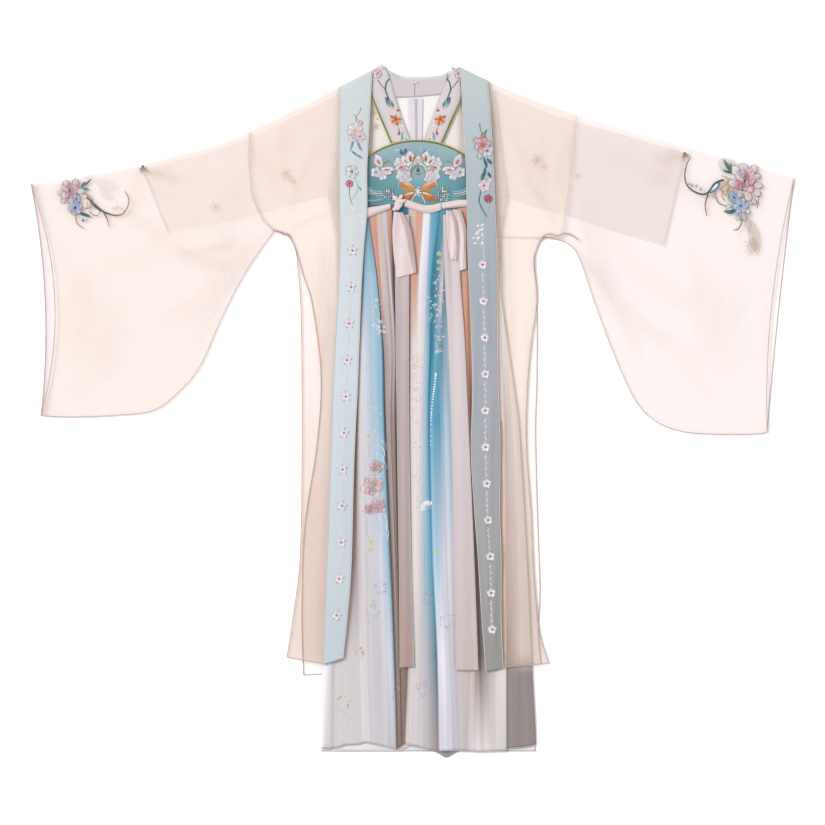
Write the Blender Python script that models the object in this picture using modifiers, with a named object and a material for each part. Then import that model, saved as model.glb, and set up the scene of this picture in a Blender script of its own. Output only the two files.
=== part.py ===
"""Hanfu set laid flat: an open wide-sleeved robe over an inner top and a chest-high pleated skirt.

The set lies on its back in the XY plane with its underside at z = 0. +Y runs to the neck, +Z away
from the surface, and left and right are the viewer's, so left is -X. The tables are in millimetres.
"""
import math

import bmesh
import bpy

MM = 0.001

# Driving sizes, in millimetres.
WALL = 1.0            # wall of every cloth piece
TRIM_WALL = 1.5       # folded bands that are sewn on double
SEAM = 0.35           # how far a body panel stops short of a seam line
SLEEVE_SEAM = 0.9     # the same for a sleeve, whose folded edges meet the seam at a slant
LAYER_GAP = 0.3       # gap between a layer and what it lies on
FOLD = 2.5            # reach of the rounded fold along a flattened sleeve's edges

# Height of the underside of each layer, from the surface upwards.
ROBE_BACK_Z = 0.0
SKIRT_BACK_Z = ROBE_BACK_Z + WALL + LAYER_GAP
TOP_BACK_Z = SKIRT_BACK_Z + WALL + LAYER_GAP
TOP_FRONT_Z = TOP_BACK_Z + WALL + LAYER_GAP
CHEST_Z = TOP_FRONT_Z + WALL + LAYER_GAP
CHEST_WALL = 1.7
TIE_Z = 8.9
ROBE_BAND_Z = 10.9
RIBBON_Z = 10.9
TAIL_Z = RIBBON_Z + WALL + LAYER_GAP
LOOP_Z = TAIL_Z + WALL + LAYER_GAP

ROBE_SLEEVE_HEIGHT = 5.8   # outside height of the robe's flattened sleeve
TOP_SLEEVE_Z = 1.6         # the inner top's sleeve lies inside the robe's
TOP_SLEEVE_HEIGHT = 2.6

# Armholes of the robe, from the shoulder fold to the underarm: share of the depth, x, y.
ROBE_ARMHOLE = {
    "left": ((0.0, -324, 559), (0.35, -324, 489), (0.65, -319, 430), (0.89, -297, 382), (1.0, -275, 360)),
    "right": ((0.0, 325, 593), (0.35, 319, 505), (0.65, 311, 430), (0.89, 301, 370), (1.0, 295, 342)),
}

# Robe sleeves from the cuff to the armhole: top x, y and foot x, y of a section, and how far its
# front and back walls bow towards +X at mid depth.
ROBE_SLEEVE = {
    "left": (
        (-763, 454, -743, -9, 38, 18),
        (-705, 460, -681, -12, 24, 14),
        (-625, 476, -585, -8, 10, 8),
        (-545, 492, -521, 0, 4, 4),
        (-495, 506, -475, 30, 0, 0),
        (-445, 518, -425, 88, 0, 0),
        (-401, 530, -381, 186, 0, 0),
        (-361, 544, -335, 274, -6, -6),
    ),
    "right": (
        (763, 466, 709, -42, -18, -3),
        (715, 483, 685, -46, -12, -3),
        (655, 498, 595, -46, -6, -3),
        (595, 514, 535, -40, 0, 0),
        (555, 526, 485, -20, 0, 0),
        (505, 540, 445, 22, 0, 0),
        (455, 554, 405, 108, 0, 0),
        (405, 569, 365, 214, 0, 0),
        (355, 584, 329, 314, 2, 2),
    ),
}

# Inner top's sleeves from the cuff to the armhole: top x, y and foot x, y of a section.
TOP_SLEEVE = {
    "left": (
        (-539, 483, -487, 356),
        (-465, 502, -399, 373),
        (-395, 520, -345, 384),
        (-327, 546, -301, 394),
        (-225, 596, -235, 414),
        (-141, 637, -169, 430),
    ),
    "right": (
        (544, 516, 501, 330),
        (475, 536, 447, 346),
        (395, 560, 385, 364),
        (325, 579, 325, 384),
        (255, 602, 255, 404),
        (163, 642, 191, 426),
    ),
}

# Robe back below the armholes, from the underarm to the hem: left x, y and right x, y.
ROBE_BACK_YOKE = ((-135, 654, 161, 654), (-225, 608, 251, 618))
ROBE_BACK_SKIRT = (
    (-250, 352, 263, 347),
    (-232, 318, 246, 318),
    (-218, 270, 243, 290),
    (-200, 210, 249, 222),
    (-183, 72, 249, 72),
    (-191, -68, 246, -48),
    (-215, -228, 251, -238),
    (-221, -378, 255, -358),
    (-220, -470, 252, -440),
    (-218, -528, 257, -506),
)

# Robe fronts from the shoulder to the hem. The inner edge, which the band covers, has an x, y for
# each share of the armhole, then each lower row gives inner x, y and outer x, y.
ROBE_FRONT_ARM = {
    "left": ((0.0, -138, 652), (0.05, -138, 640), (0.35, -138, 560), (0.65, -138, 480),
             (0.89, -137, 430), (1.0, -137, 400)),
    "right": ((0.0, 143, 664), (0.05, 143, 652), (0.35, 149, 575), (0.65, 153, 490),
              (0.89, 155, 430), (1.0, 157, 395)),
}
ROBE_FRONT_SIDE = {
    "left": (
        (-136, 370, -250, 352),
        (-137, 330, -234, 322),
        (-139, 290, -229, 286),
        (-142, 200, -223, 202),
        (-151, 60, -221, 60),
        (-156, -110, -221, -110),
        (-163, -298, -225, -298),
        (-168, -420, -240, -420),
        (-171, -505, -251, -492),
    ),
    "right": (
        (158, 370, 263, 347),
        (160, 330, 248, 322),
        (161, 290, 245, 290),
        (161, 222, 249, 222),
        (162, 130, 237, 130),
        (164, 30, 229, 30),
        (167, -75, 228, -75),
        (167, -200, 237, -200),
        (169, -330, 243, -330),
        (170, -440, 254, -440),
        (173, -512, 273, -504),
    ),
}

# Across a robe front, from the band to the armhole or side: share of the width, and the height of
# its underside beside the armhole and beside the open side.
ROBE_FRONT_SECTION = ((0.0, 9.4, 9.4), (0.4, 8.2, 9.0), (0.8, 6.0, 7.0), (0.95, 5.1, 4.0), (1.0, 4.8, 1.4))
ROBE_SHOULDER_Z = (1.4, 5.0)

# Front bands from the shoulder to the hem: edge beside the front x, y, free edge x, y, height.
ROBE_BAND = {
    "left": (
        (-146, 648, -79, 682, 2.8),
        (-147, 636, -81, 668, 6.5),
        (-147, 560, -87, 560, ROBE_BAND_Z),
        (-147, 480, -91, 480, ROBE_BAND_Z),
        (-146, 400, -91, 400, ROBE_BAND_Z),
        (-145, 330, -97, 330, ROBE_BAND_Z),
        (-149, 230, -103, 230, ROBE_BAND_Z),
        (-158, 66, -109, 66, ROBE_BAND_Z),
        (-164, -110, -117, -110, ROBE_BAND_Z),
        (-171, -298, -122, -298, ROBE_BAND_Z),
        (-175, -400, -129, -400, ROBE_BAND_Z),
        (-179, -506, -139, -494, ROBE_BAND_Z),
    ),
    "right": (
        (151, 660, 94, 687, 2.8),
        (151, 648, 96, 675, 6.5),
        (157, 575, 102, 575, ROBE_BAND_Z),
        (161, 490, 107, 490, ROBE_BAND_Z),
        (165, 400, 109, 400, ROBE_BAND_Z),
        (169, 300, 111, 300, ROBE_BAND_Z),
        (169, 222, 115, 222, ROBE_BAND_Z),
        (171, 56, 120, 56, ROBE_BAND_Z),
        (175, -76, 117, -76, ROBE_BAND_Z),
        (174, -190, 124, -190, ROBE_BAND_Z),
        (177, -298, 133, -298, ROBE_BAND_Z),
        (177, -418, 139, -418, ROBE_BAND_Z),
        (181, -514, 145, -520, ROBE_BAND_Z),
    ),
}

# Band behind the robe's neck: x, y of its free edge, y of its sewn edge.
ROBE_NECK = (
    (-57, 689, 630), (-41, 678, 626), (-17, 669, 620), (17, 668, 616),
    (53, 671, 620), (73, 680, 626), (91, 687, 630),
)

# Inner top below the armholes, left x and right x at each y, and its neckline under the collar.
TOP_BODY = ((-155, 178, 350), (-150, 173, 182))
TOP_NECK = ((0.0, -65, 668, 83, 668), (0.1, -49, 628, 69, 628), (0.45, -31, 582, 49, 586), (0.75, -13, 532, 31, 532))

# Front collar pieces from the neck down: edge beside the front x, y and free edge x, y.
TOP_COLLAR = {
    "left": ((-79, 682, -60, 694), (-80, 662, -45, 662), (-81, 632, -35, 628), (-61, 584, -21, 584),
             (-41, 536, -5, 542)),
    "right": ((94, 689, 81, 678), (95, 662, 71, 662), (97, 626, 57, 633), (77, 580, 40, 587),
              (58, 536, 23, 542)),
}
# Collar behind the neck, in two halves that the zip parts: x, y of the top and bottom edges.
TOP_COLLAR_BACK = {
    "left": ((-44, 676, 626), (-17, 663, 627), (4.5, 662, 628)),
    "right": ((5.5, 662, 628), (31, 664, 630), (57, 668, 633), (69, 676, 634)),
}
PIPING_RADIUS = 1.2
PIPING_ENDS = {"left": ((-82.6, 631), (-42.8, 536)), "right": ((98.6, 625), (59.8, 536))}

ZIP_TAPE = ((-9, 624, 21, 624), (-5, 534, 19, 534))
BUTTON_AT = (7, 657)
BUTTON_RADIUS = 2.4
BUTTON_HEIGHT = 1.4
LOOP_RADIUS = 3.6
LOOP_CORD = 0.5

# Chest band of the skirt: an arc that flattens into straight ends.
CHEST_LEFT, CHEST_RIGHT = -142.0, 160.0
CHEST_FOOT = 410.0
CHEST_END_TOP = 478.0
CHEST_ARC_CENTRE = (10.0, 372.0)
CHEST_ARC_RADIUS = 166.0
CHEST_PIPING_REACH = 118.0
CHEST_PIPING_RADIUS = 1.3

# Rows of the skirt: y, height of the flat cloth, share of each pleat's height, blend between the
# waist, thigh, knee, shin and hem columns of the pleat table (0 is the waist and 4 the hem).
SKIRT_ROWS = (
    (407, 6.5, 0.0, 0.0),
    (380, 6.5, 0.2, 0.18),
    (262, 6.3, 0.4, 1.0),
    (172, 6.3, 0.45, 1.32),
    (122, 4.4, 0.85, 1.5),
    (-18, 4.0, 1.0, 2.0),
    (-158, 4.0, 1.0, 2.5),
    (-298, 4.0, 1.0, 3.0),
    (-420, 4.0, 1.0, 3.32),
    (-540, 4.0, 1.0, 3.64),
    (-600, 3.4, 1.0, 3.8),
    (-674, 2.9, 1.0, 4.0),
)
# Pleats of the skirt's front, left to right: x at the waist, thigh, knee, shin and hem, height of
# the cloth there, and y of the hem.
PLEATS = (
    # name            waist thigh  knee  shin   hem  height hem_y
    ("left_edge",      -143, -147, -155, -171, -183, -1.2, -673),
    ("side_pleat",     -135, -139, -145, -155, -161, 2.5, -662),
    ("panel_left",     -105, -99, -105, -101, -91, 3.5, -660),
    ("panel_edge",     -89, -73, -57, -45, -33, 5.4, -670),
    ("recess_left",    -85, -69, -53, -41, -29, 0.8, -674),
    ("recess_right",   3, 8, -9, -7, -19, 0.8, -674),
    ("centre_left",    7, 13, -3, -1, -13, 5.0, -672),
    ("centre_fold",    51, 43, 33, 41, 53, 1.6, -675),
    ("centre_rise",    56, 48, 38, 46, 58, 5.2, -676),
    ("salmon_edge",    104, 107, 113, 122, 137, 4.5, -676),
    ("salmon_recess",  109, 112, 118, 128, 143, 1.6, -676),
    ("right_panel",    148, 160, 182, 185, 187, 3.7, -677),
    ("right_recess",   154, 166, 187, 190, 192, 1.0, -674),
    ("right_edge",     160, 172, 212, 229, 247, -1.2, -672),
)
# Skirt back and lining: y, height, left x, right x. Past the robe's hem the back meets the surface.
SKIRT_BACK = (
    (407, 1.3, -142, 160),
    (262, 1.3, -146, 172),
    (-18, 1.3, -155, 212),
    (-298, 1.3, -171, 229),
    (-545, 1.3, -182, 241),
    (-585, 0.0, -183, 243),
    (-680, 0.0, -183, 247),
)
BACK_HEM_DIP = 14.0       # the hem's lowest curl, below the rest of the back hem
BACK_HEM_DIP_AT = 67.8
BACK_HEM_DIP_WIDTH = 24.0
LINING = (
    (407, 5.2, -132, 146),
    (172, 5.2, -140, 164),
    (122, 2.6, -143, 170),
    (-298, 2.6, -156, 176),
    (-545, 2.6, -160, 178),
    (-585, 1.3, -161, 178),
)
LINING_HEM = ((-162, -681), (-25, -681), (30, -652), (70, -624), (178, -622))

# Ties across the band's foot: x, top y, bottom y.
TIES = {
    "tie_left": ((-121, 402, 384), (-91, 406, 386), (-65, 410, 396), (-44, 414, 405)),
    "tie_centre": ((-16, 424, 408), (1, 418, 402), (21, 412, 396), (39, 412, 396), (57, 416, 401)),
    "tie_right": ((58, 416, 403), (87, 421, 406), (107, 422, 408), (131, 420, 406)),
}
TIE_WALL = 1.2
KNOT_AT = (-30, 415, 11.1)
KNOT_SIZE = (12.6, 14.2, 3.8)

# Hanging ends of the ties and the two long ribbons: left x, y and right x, y, from the top down.
HANGING = {
    "tie_tail_left": (TAIL_Z, ((-37, 398, -19, 396), (-40, 362, -3, 364), (-38, 316, 4, 318), (-32, 266, 8, 276))),
    "tie_tail_right": (TAIL_Z, ((80, 402, 96, 402), (86, 364, 107, 366), (92, 322, 107, 322), (95, 280, 107, 284))),
    "tie_loop_right": (LOOP_Z, ((67, 400, 79, 400), (68, 372, 89, 374), (71, 332, 93, 334), (76, 304, 88, 300))),
    "ribbon_left": (RIBBON_Z, ((-33, 392, -7, 392), (-34, 262, -7, 262), (-31, -18, -7, -18),
                               (-27, -298, -3, -298), (-25, -512, 3, -512))),
    "ribbon_right": (RIBBON_Z, ((61, 392, 91, 392), (65, 262, 95, 262), (71, 154, 103, 154),
                                (77, -18, 111, -18), (83, -298, 123, -298), (87, -518, 131, -518))),
}

# Materials: base colour (linear), roughness.
CLOTH = {
    "peach_chiffon": ((0.86, 0.68, 0.58), 0.75),
    "pale_blue_satin": ((0.48, 0.60, 0.64), 0.5),
    "cream_chiffon": ((0.85, 0.76, 0.68), 0.75),
    "grey_pink_satin": ((0.68, 0.62, 0.62), 0.55),
    "teal_satin": ((0.10, 0.28, 0.33), 0.5),
    "olive_cord": ((0.26, 0.24, 0.05), 0.6),
    "lavender_tape": ((0.66, 0.64, 0.72), 0.6),
    "blue_chiffon": ((0.36, 0.52, 0.62), 0.7),
    "white_lining": ((0.80, 0.78, 0.78), 0.7),
    "pink_ribbon": ((0.74, 0.58, 0.52), 0.5),
    "white_button": ((0.85, 0.85, 0.85), 0.3),
}


def clear_scene():
    for thing in list(bpy.data.objects):
        bpy.data.objects.remove(thing, do_unlink=True)


def material(slot):
    """The Principled material of a slot, made once."""
    made = bpy.data.materials.get(slot)
    if made:
        return made
    colour, roughness = CLOTH[slot]
    made = bpy.data.materials.new(slot)
    made.use_nodes = True
    shader = made.node_tree.nodes["Principled BSDF"]
    shader.inputs["Base Color"].default_value = (*colour, 1.0)
    shader.inputs["Roughness"].default_value = roughness
    shader.inputs["Metallic"].default_value = 0.0
    return made


def add_object(name, slot, data, home):
    thing = bpy.data.objects.new(name, data)
    thing.data.materials.append(material(slot))
    home.objects.link(thing)
    return thing


def add_mesh(name, slot, bm, home):
    """Turn a bmesh in millimetres into a named object in metres."""
    bmesh.ops.scale(bm, vec=(MM, MM, MM), verts=bm.verts)
    mesh = bpy.data.meshes.new(name)
    bm.to_mesh(mesh)
    bm.free()
    return add_object(name, slot, mesh, home)


def mix(a, b, share):
    return a + (b - a) * share


def smooth(values, position):
    """A smooth curve through evenly spaced values, read at a position counted in steps."""
    last = len(values) - 1
    step = min(int(position), last - 1)
    t = position - step
    before, start, end, after = (values[min(max(step + k, 0), last)] for k in (-1, 0, 1, 2))
    return 0.5 * (2 * start + (end - before) * t + (2 * before - 5 * start + 4 * end - after) * t * t
                  + (3 * start - before - 3 * end + after) * t ** 3)


def refined(rows, steps):
    """The table's rows with steps - 1 smooth rows added between neighbours."""
    count = (len(rows) - 1) * steps
    columns = list(zip(*rows))
    return [[smooth(column, k / steps) for column in columns] for k in range(count + 1)]


def grid(columns, rows, place):
    """A grid of cells whose corner (column, row) is moved to place(column, row)."""
    bm = bmesh.new()
    bmesh.ops.create_grid(bm, x_segments=columns, y_segments=rows, size=0.5)
    for vert in bm.verts:
        column = round((vert.co.x + 0.5) * columns)
        row = round((vert.co.y + 0.5) * rows)
        vert.co = place(column, row)
    return bm


def raise_wall(bm, wall):
    """Give a laid sheet its wall, straight up, so its outline stays as it is."""
    made = bmesh.ops.extrude_face_region(bm, geom=bm.faces[:])
    raised = [item for item in made["geom"] if isinstance(item, bmesh.types.BMVert)]
    bmesh.ops.translate(bm, vec=(0, 0, wall), verts=raised)
    bmesh.ops.recalc_face_normals(bm, faces=bm.faces)


def laid_panel(name, slot, home, rows, heights, shares, wall=WALL):
    """A panel of straight rows from one end (x, y) to the other; heights(row, column) lifts it."""
    def place(column, row):
        x0, y0, x1, y1 = rows[row][:4]
        share = shares[column]
        return mix(x0, x1, share), mix(y0, y1, share), heights(row, column)
    bm = grid(len(shares) - 1, len(rows) - 1, place)
    raise_wall(bm, wall)
    return add_mesh(name, slot, bm, home)


def even(count):
    return [k / count for k in range(count + 1)]


def at_share(table, share):
    """x and y on a seam table of (share, x, y) rows."""
    for (s0, x0, y0), (s1, x1, y1) in zip(table, table[1:]):
        if share <= s1:
            t = (share - s0) / (s1 - s0)
            return mix(x0, x1, t), mix(y0, y1, t)
    return table[-1][1:]


def flattened_tube(name, slot, home, rings, low, high):
    """A sleeve pressed flat: each ring gives its front and back points and its top and foot folds."""
    count = len(rings[0][0])
    around = 2 * count + 2

    def place(column, row):
        front, back, top, foot = rings[row]
        column %= around
        if column < count:
            return *front[column], high
        if column == count:
            return *foot, mix(low, high, 0.5)
        if column < around - 1:
            return *back[2 * count - column], low
        return *top, mix(low, high, 0.5)

    bm = grid(around, len(rings) - 1, place)
    bmesh.ops.remove_doubles(bm, verts=bm.verts, dist=0.01)
    bmesh.ops.recalc_face_normals(bm, faces=bm.faces)
    face = max(bm.faces, key=lambda item: item.calc_center_median().z)
    if face.normal.z < 0:
        bmesh.ops.reverse_faces(bm, faces=bm.faces)
    sleeve = add_mesh(name, slot, bm, home)
    wall = sleeve.modifiers.new("wall", "SOLIDIFY")
    wall.thickness = WALL * MM
    wall.offset = -1.0
    wall.use_even_offset = True
    return sleeve


def stepped(start, towards, distance):
    """The point a distance along the line from start to another point."""
    share = distance / math.dist(start, towards)
    return mix(start[0], towards[0], share), mix(start[1], towards[1], share)


def wall_points(top, foot, shares, bow=0.0):
    """Points of one wall from just below the top fold to just above the foot, bowed along X."""
    start, end = stepped(top, foot, FOLD), stepped(foot, top, FOLD)
    points = []
    for share in shares:
        x = mix(start[0], end[0], share) + 4.0 * bow * share * (1.0 - share)
        points.append((x, mix(start[1], end[1], share)))
    return points


def robe_sleeve(side, home):
    outward = -SLEEVE_SEAM if side == "left" else SLEEVE_SEAM
    shares = [share for share, _, _ in ROBE_ARMHOLE[side]]
    rings = []
    for x0, y0, x1, y1, front_bow, back_bow in refined(ROBE_SLEEVE[side], 2):
        top, foot = (x0, y0), (x1, y1)
        rings.append((wall_points(top, foot, shares, front_bow), wall_points(top, foot, shares, back_bow),
                      top, foot))
    seam = [(x + outward, y) for _, x, y in ROBE_ARMHOLE[side]]
    top, foot = seam[0], seam[-1]
    seam[0] = stepped(top, seam[1], FOLD)
    seam[-1] = stepped(foot, seam[-2], FOLD)
    rings.append((seam, seam, top, foot))
    flattened_tube(f"robe_sleeve_{side}", "peach_chiffon", home, rings, ROBE_BACK_Z, ROBE_SLEEVE_HEIGHT)


def top_sleeve(side, home):
    outward = -SLEEVE_SEAM if side == "left" else SLEEVE_SEAM
    rings = []
    for x0, y0, x1, y1 in TOP_SLEEVE[side]:
        top, foot = (x0 + outward, y0), (x1 + outward, y1)
        points = wall_points(top, foot, even(3))
        rings.append((points, points, top, foot))
    flattened_tube(f"top_sleeve_{side}", "cream_chiffon", home, rings,
                   TOP_SLEEVE_Z, TOP_SLEEVE_Z + TOP_SLEEVE_HEIGHT)


def robe_body(home):
    """The back, and the two fronts that drop to it along the shoulders and the sides."""
    left, right = ROBE_ARMHOLE["left"], ROBE_ARMHOLE["right"]
    arms = [(x0 + SEAM, y0, x1 - SEAM, y1) for (_, x0, y0), (_, x1, y1) in zip(left, right)]
    rows = [*ROBE_BACK_YOKE, *arms, *ROBE_BACK_SKIRT]
    laid_panel("robe_back", "peach_chiffon", home, rows, lambda row, column: ROBE_BACK_Z, even(4))

    shares = [share for share, _, _ in ROBE_FRONT_SECTION]
    for side, inward in (("left", SEAM), ("right", -SEAM)):
        rows = []
        for share, x, y in ROBE_FRONT_ARM[side]:
            arm_x, arm_y = at_share(ROBE_ARMHOLE[side], share)
            rows.append((x, y, arm_x + inward, arm_y))
        armhole_rows = len(rows)
        rows += ROBE_FRONT_SIDE[side]

        def height(row, column):
            if row < len(ROBE_SHOULDER_Z):
                return ROBE_SHOULDER_Z[row]
            _, armhole, side_seam = ROBE_FRONT_SECTION[column]
            return armhole if row < armhole_rows else side_seam

        laid_panel(f"robe_front_{side}", "peach_chiffon", home, rows, height, shares)


def robe_bands(home):
    for side, rows in ROBE_BAND.items():
        laid_panel(f"robe_band_{side}", "pale_blue_satin", home, rows,
                   lambda row, column, rows=rows: rows[row][4], even(2), TRIM_WALL)
    strip("robe_band_neck", "pale_blue_satin", home, ROBE_NECK, SKIRT_BACK_Z, WALL)


def strip(name, slot, home, stations, height, wall):
    """A level strip through stations of x, top y and bottom y, run from left to right."""
    rows = [(x, top, x, foot) for x, top, foot in stations]
    return laid_panel(name, slot, home, rows, lambda row, column: height, even(1), wall)


def top_body(home):
    """The inner top's back and its front with the open V."""
    ends = {}
    for side, inward in (("left", SEAM), ("right", -SEAM)):
        x0, y0, x1, y1 = TOP_SLEEVE[side][-1]
        ends[side] = (x0 + inward, y0, x1 + inward, y1)
    rows = []
    for share in (0.0, 0.1, 0.45, 0.75, 1.0):
        left, right = ends["left"], ends["right"]
        rows.append((mix(left[0], left[2], share), mix(left[1], left[3], share),
                     mix(right[0], right[2], share), mix(right[1], right[3], share)))
    rows += [(x0, y, x1, y) for x0, x1, y in TOP_BODY]
    laid_panel("top_back", "cream_chiffon", home, rows, lambda row, column: TOP_BACK_Z, even(3))

    necks = [row[1:] for row in TOP_NECK]
    centre = mix(necks[-1][0], necks[-1][2], 0.5)
    for _, y_left, _, y_right in rows[len(necks):]:
        y = mix(y_left, y_right, 0.5)
        necks.append((centre - 20, y, centre + 20, y))

    def place(column, row):
        left_x, left_y, right_x, right_y = rows[row]
        neck_left_x, neck_left_y, neck_right_x, neck_right_y = necks[row]
        if column <= 2:
            share = column / 2
            return mix(left_x, neck_left_x, share), mix(left_y, neck_left_y, share), TOP_FRONT_Z
        share = (column - 3) / 2
        return mix(neck_right_x, right_x, share), mix(neck_right_y, right_y, share), TOP_FRONT_Z

    bm = grid(5, len(rows) - 1, place)
    neck_foot = TOP_NECK[-1][2]
    opening = []
    for face in bm.faces:
        middle = face.calc_center_median()
        if abs(middle.x - centre) < 20 and middle.y > neck_foot:
            opening.append(face)
    bmesh.ops.delete(bm, geom=opening, context="FACES")
    raise_wall(bm, WALL)
    add_mesh("top_front", "cream_chiffon", bm, home)


def tube(name, slot, home, points, radius):
    """A cord through points, with filled ends."""
    curve = bpy.data.curves.new(name, "CURVE")
    curve.dimensions = "3D"
    curve.bevel_depth = radius * MM
    curve.bevel_resolution = 2
    curve.use_fill_caps = True
    spline = curve.splines.new("POLY")
    spline.points.add(len(points) - 1)
    for point, (x, y, z) in zip(spline.points, points):
        point.co = (x * MM, y * MM, z * MM, 1.0)
    return add_object(name, slot, curve, home)


def top_collar(home):
    for side, rows in TOP_COLLAR.items():
        laid_panel(f"top_collar_{side}", "grey_pink_satin", home, rows,
                   lambda row, column: CHEST_Z, even(1))
        (x0, y0), (x1, y1) = PIPING_ENDS[side]
        height = CHEST_Z + PIPING_RADIUS
        tube(f"top_piping_{side}", "olive_cord", home, [(x0, y0, height), (x1, y1, height)], PIPING_RADIUS)
    for side, stations in TOP_COLLAR_BACK.items():
        strip(f"top_collar_back_{side}", "grey_pink_satin", home, stations, TOP_FRONT_Z, WALL)


def neck_fastening(home):
    """Zip tape in the back opening, and the button and loop that close the collar above it."""
    laid_panel("top_zip", "lavender_tape", home, ZIP_TAPE, lambda row, column: TOP_FRONT_Z, even(1), WALL)
    x, y = BUTTON_AT
    bm = bmesh.new()
    bmesh.ops.create_cone(bm, cap_ends=True, segments=16, radius1=BUTTON_RADIUS,
                          radius2=0.8 * BUTTON_RADIUS, depth=BUTTON_HEIGHT)
    bmesh.ops.translate(bm, vec=(x, y, CHEST_Z + BUTTON_HEIGHT / 2), verts=bm.verts)
    add_mesh("neck_button", "white_button", bm, home)
    points = []
    for k in range(13):
        angle = math.radians(-60 + 300 * k / 12)
        points.append((x + LOOP_RADIUS * math.cos(angle), y + LOOP_RADIUS * math.sin(angle), CHEST_Z + LOOP_CORD))
    tube("neck_loop", "white_button", home, points, LOOP_CORD)


def chest_top(x):
    """y of the chest band's top edge."""
    reach = CHEST_ARC_RADIUS ** 2 - (x - CHEST_ARC_CENTRE[0]) ** 2
    arc = CHEST_ARC_CENTRE[1] + math.sqrt(max(reach, 0.0))
    return max(arc, CHEST_END_TOP)


def chest_band(home):
    count = 18
    columns = [mix(CHEST_LEFT, CHEST_RIGHT, share) for share in even(count)]
    stations = [(x, chest_top(x), CHEST_FOOT) for x in columns]
    strip("skirt_band_front", "teal_satin", home, stations, CHEST_Z, CHEST_WALL)
    ends = ((CHEST_LEFT, CHEST_END_TOP, CHEST_FOOT), (CHEST_RIGHT, CHEST_END_TOP, CHEST_FOOT))
    strip("skirt_band_back", "teal_satin", home, ends, SKIRT_BACK_Z, WALL)
    radius = CHEST_ARC_RADIUS + CHEST_PIPING_RADIUS + SEAM
    sweep = math.asin(CHEST_PIPING_REACH / radius)
    points = []
    for share in even(16):
        angle = mix(-sweep, sweep, share)
        points.append((CHEST_ARC_CENTRE[0] + radius * math.sin(angle),
                       CHEST_ARC_CENTRE[1] + radius * math.cos(angle), CHEST_Z + CHEST_PIPING_RADIUS))
    tube("skirt_band_piping", "olive_cord", home, points, CHEST_PIPING_RADIUS)


def skirt(home):
    def place_front(column, row):
        _, *xs, height, hem_y = PLEATS[column]
        y, base, gain, blend = SKIRT_ROWS[row]
        step = min(int(blend), 3)
        x = mix(xs[step], xs[step + 1], blend - step)
        if row == len(SKIRT_ROWS) - 1:
            y = hem_y
        return x, y, base + gain * height

    bm = grid(len(PLEATS) - 1, len(SKIRT_ROWS) - 1, place_front)
    raise_wall(bm, WALL)
    add_mesh("skirt_front", "blue_chiffon", bm, home)

    back_columns = 12

    def place_back(column, row):
        y, height, left, right = SKIRT_BACK[row]
        x = mix(left, right, column / back_columns)
        if row == len(SKIRT_BACK) - 1:
            y -= BACK_HEM_DIP * max(0.0, 1.0 - abs(x - BACK_HEM_DIP_AT) / BACK_HEM_DIP_WIDTH)
        return x, y, height

    bm = grid(back_columns, len(SKIRT_BACK) - 1, place_back)
    raise_wall(bm, WALL)
    add_mesh("skirt_back", "blue_chiffon", bm, home)

    hem = [(x, y) for x, y in LINING_HEM]
    hem_left, hem_right = hem[0][0], hem[-1][0]
    shares = [(x - hem_left) / (hem_right - hem_left) for x, _ in hem]

    def place_lining(column, row):
        if row == len(LINING):
            return hem[column][0], hem[column][1], LINING[-1][1]
        y, height, left, right = LINING[row]
        return mix(left, right, shares[column]), y, height

    bm = grid(len(hem) - 1, len(LINING), place_lining)
    raise_wall(bm, WALL)
    add_mesh("skirt_lining", "white_lining", bm, home)


def ties(home):
    for name, stations in TIES.items():
        strip(name, "pink_ribbon", home, stations, TIE_Z, TIE_WALL)
    for name, (height, rows) in HANGING.items():
        laid_panel(name, "pink_ribbon", home, rows, lambda row, column, height=height: height, even(1))
    bm = bmesh.new()
    bmesh.ops.create_uvsphere(bm, u_segments=14, v_segments=8, radius=1.0)
    bmesh.ops.scale(bm, vec=KNOT_SIZE, verts=bm.verts)
    bmesh.ops.translate(bm, vec=KNOT_AT, verts=bm.verts)
    knot = add_mesh("tie_knot_left", "pink_ribbon", bm, home)
    knot.data.shade_smooth()


def main():
    clear_scene()
    home = bpy.data.collections.new("hanfu_robe_set")
    bpy.context.scene.collection.children.link(home)
    robe_body(home)
    robe_bands(home)
    top_body(home)
    top_collar(home)
    neck_fastening(home)
    chest_band(home)
    skirt(home)
    ties(home)
    for side in ("left", "right"):
        robe_sleeve(side, home)
        top_sleeve(side, home)


main()
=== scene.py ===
"""Looks of the hanfu set: a sheer wide-sleeved robe laid open over an inner top and a pleated skirt.

Tables and places are in millimetres in the frame's axes: the set lies on its back in XY, +Y runs to
the neck, and left and right are the viewer's, so left is -X.
"""
import math
import random

import bmesh
import bpy
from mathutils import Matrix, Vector
from mathutils.bvhtree import BVHTree


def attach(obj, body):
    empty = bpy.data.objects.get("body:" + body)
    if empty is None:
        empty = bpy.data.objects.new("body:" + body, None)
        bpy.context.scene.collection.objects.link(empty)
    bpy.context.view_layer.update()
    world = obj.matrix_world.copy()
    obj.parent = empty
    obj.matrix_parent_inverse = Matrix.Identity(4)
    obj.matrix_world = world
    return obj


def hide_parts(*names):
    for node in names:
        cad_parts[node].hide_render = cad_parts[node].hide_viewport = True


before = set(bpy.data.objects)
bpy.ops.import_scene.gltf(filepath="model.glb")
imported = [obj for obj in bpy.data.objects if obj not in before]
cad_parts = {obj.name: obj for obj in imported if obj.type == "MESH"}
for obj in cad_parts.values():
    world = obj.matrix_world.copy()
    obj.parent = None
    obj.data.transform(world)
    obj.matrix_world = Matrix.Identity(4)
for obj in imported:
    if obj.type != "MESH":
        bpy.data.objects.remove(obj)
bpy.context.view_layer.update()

MM = 0.001
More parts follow.
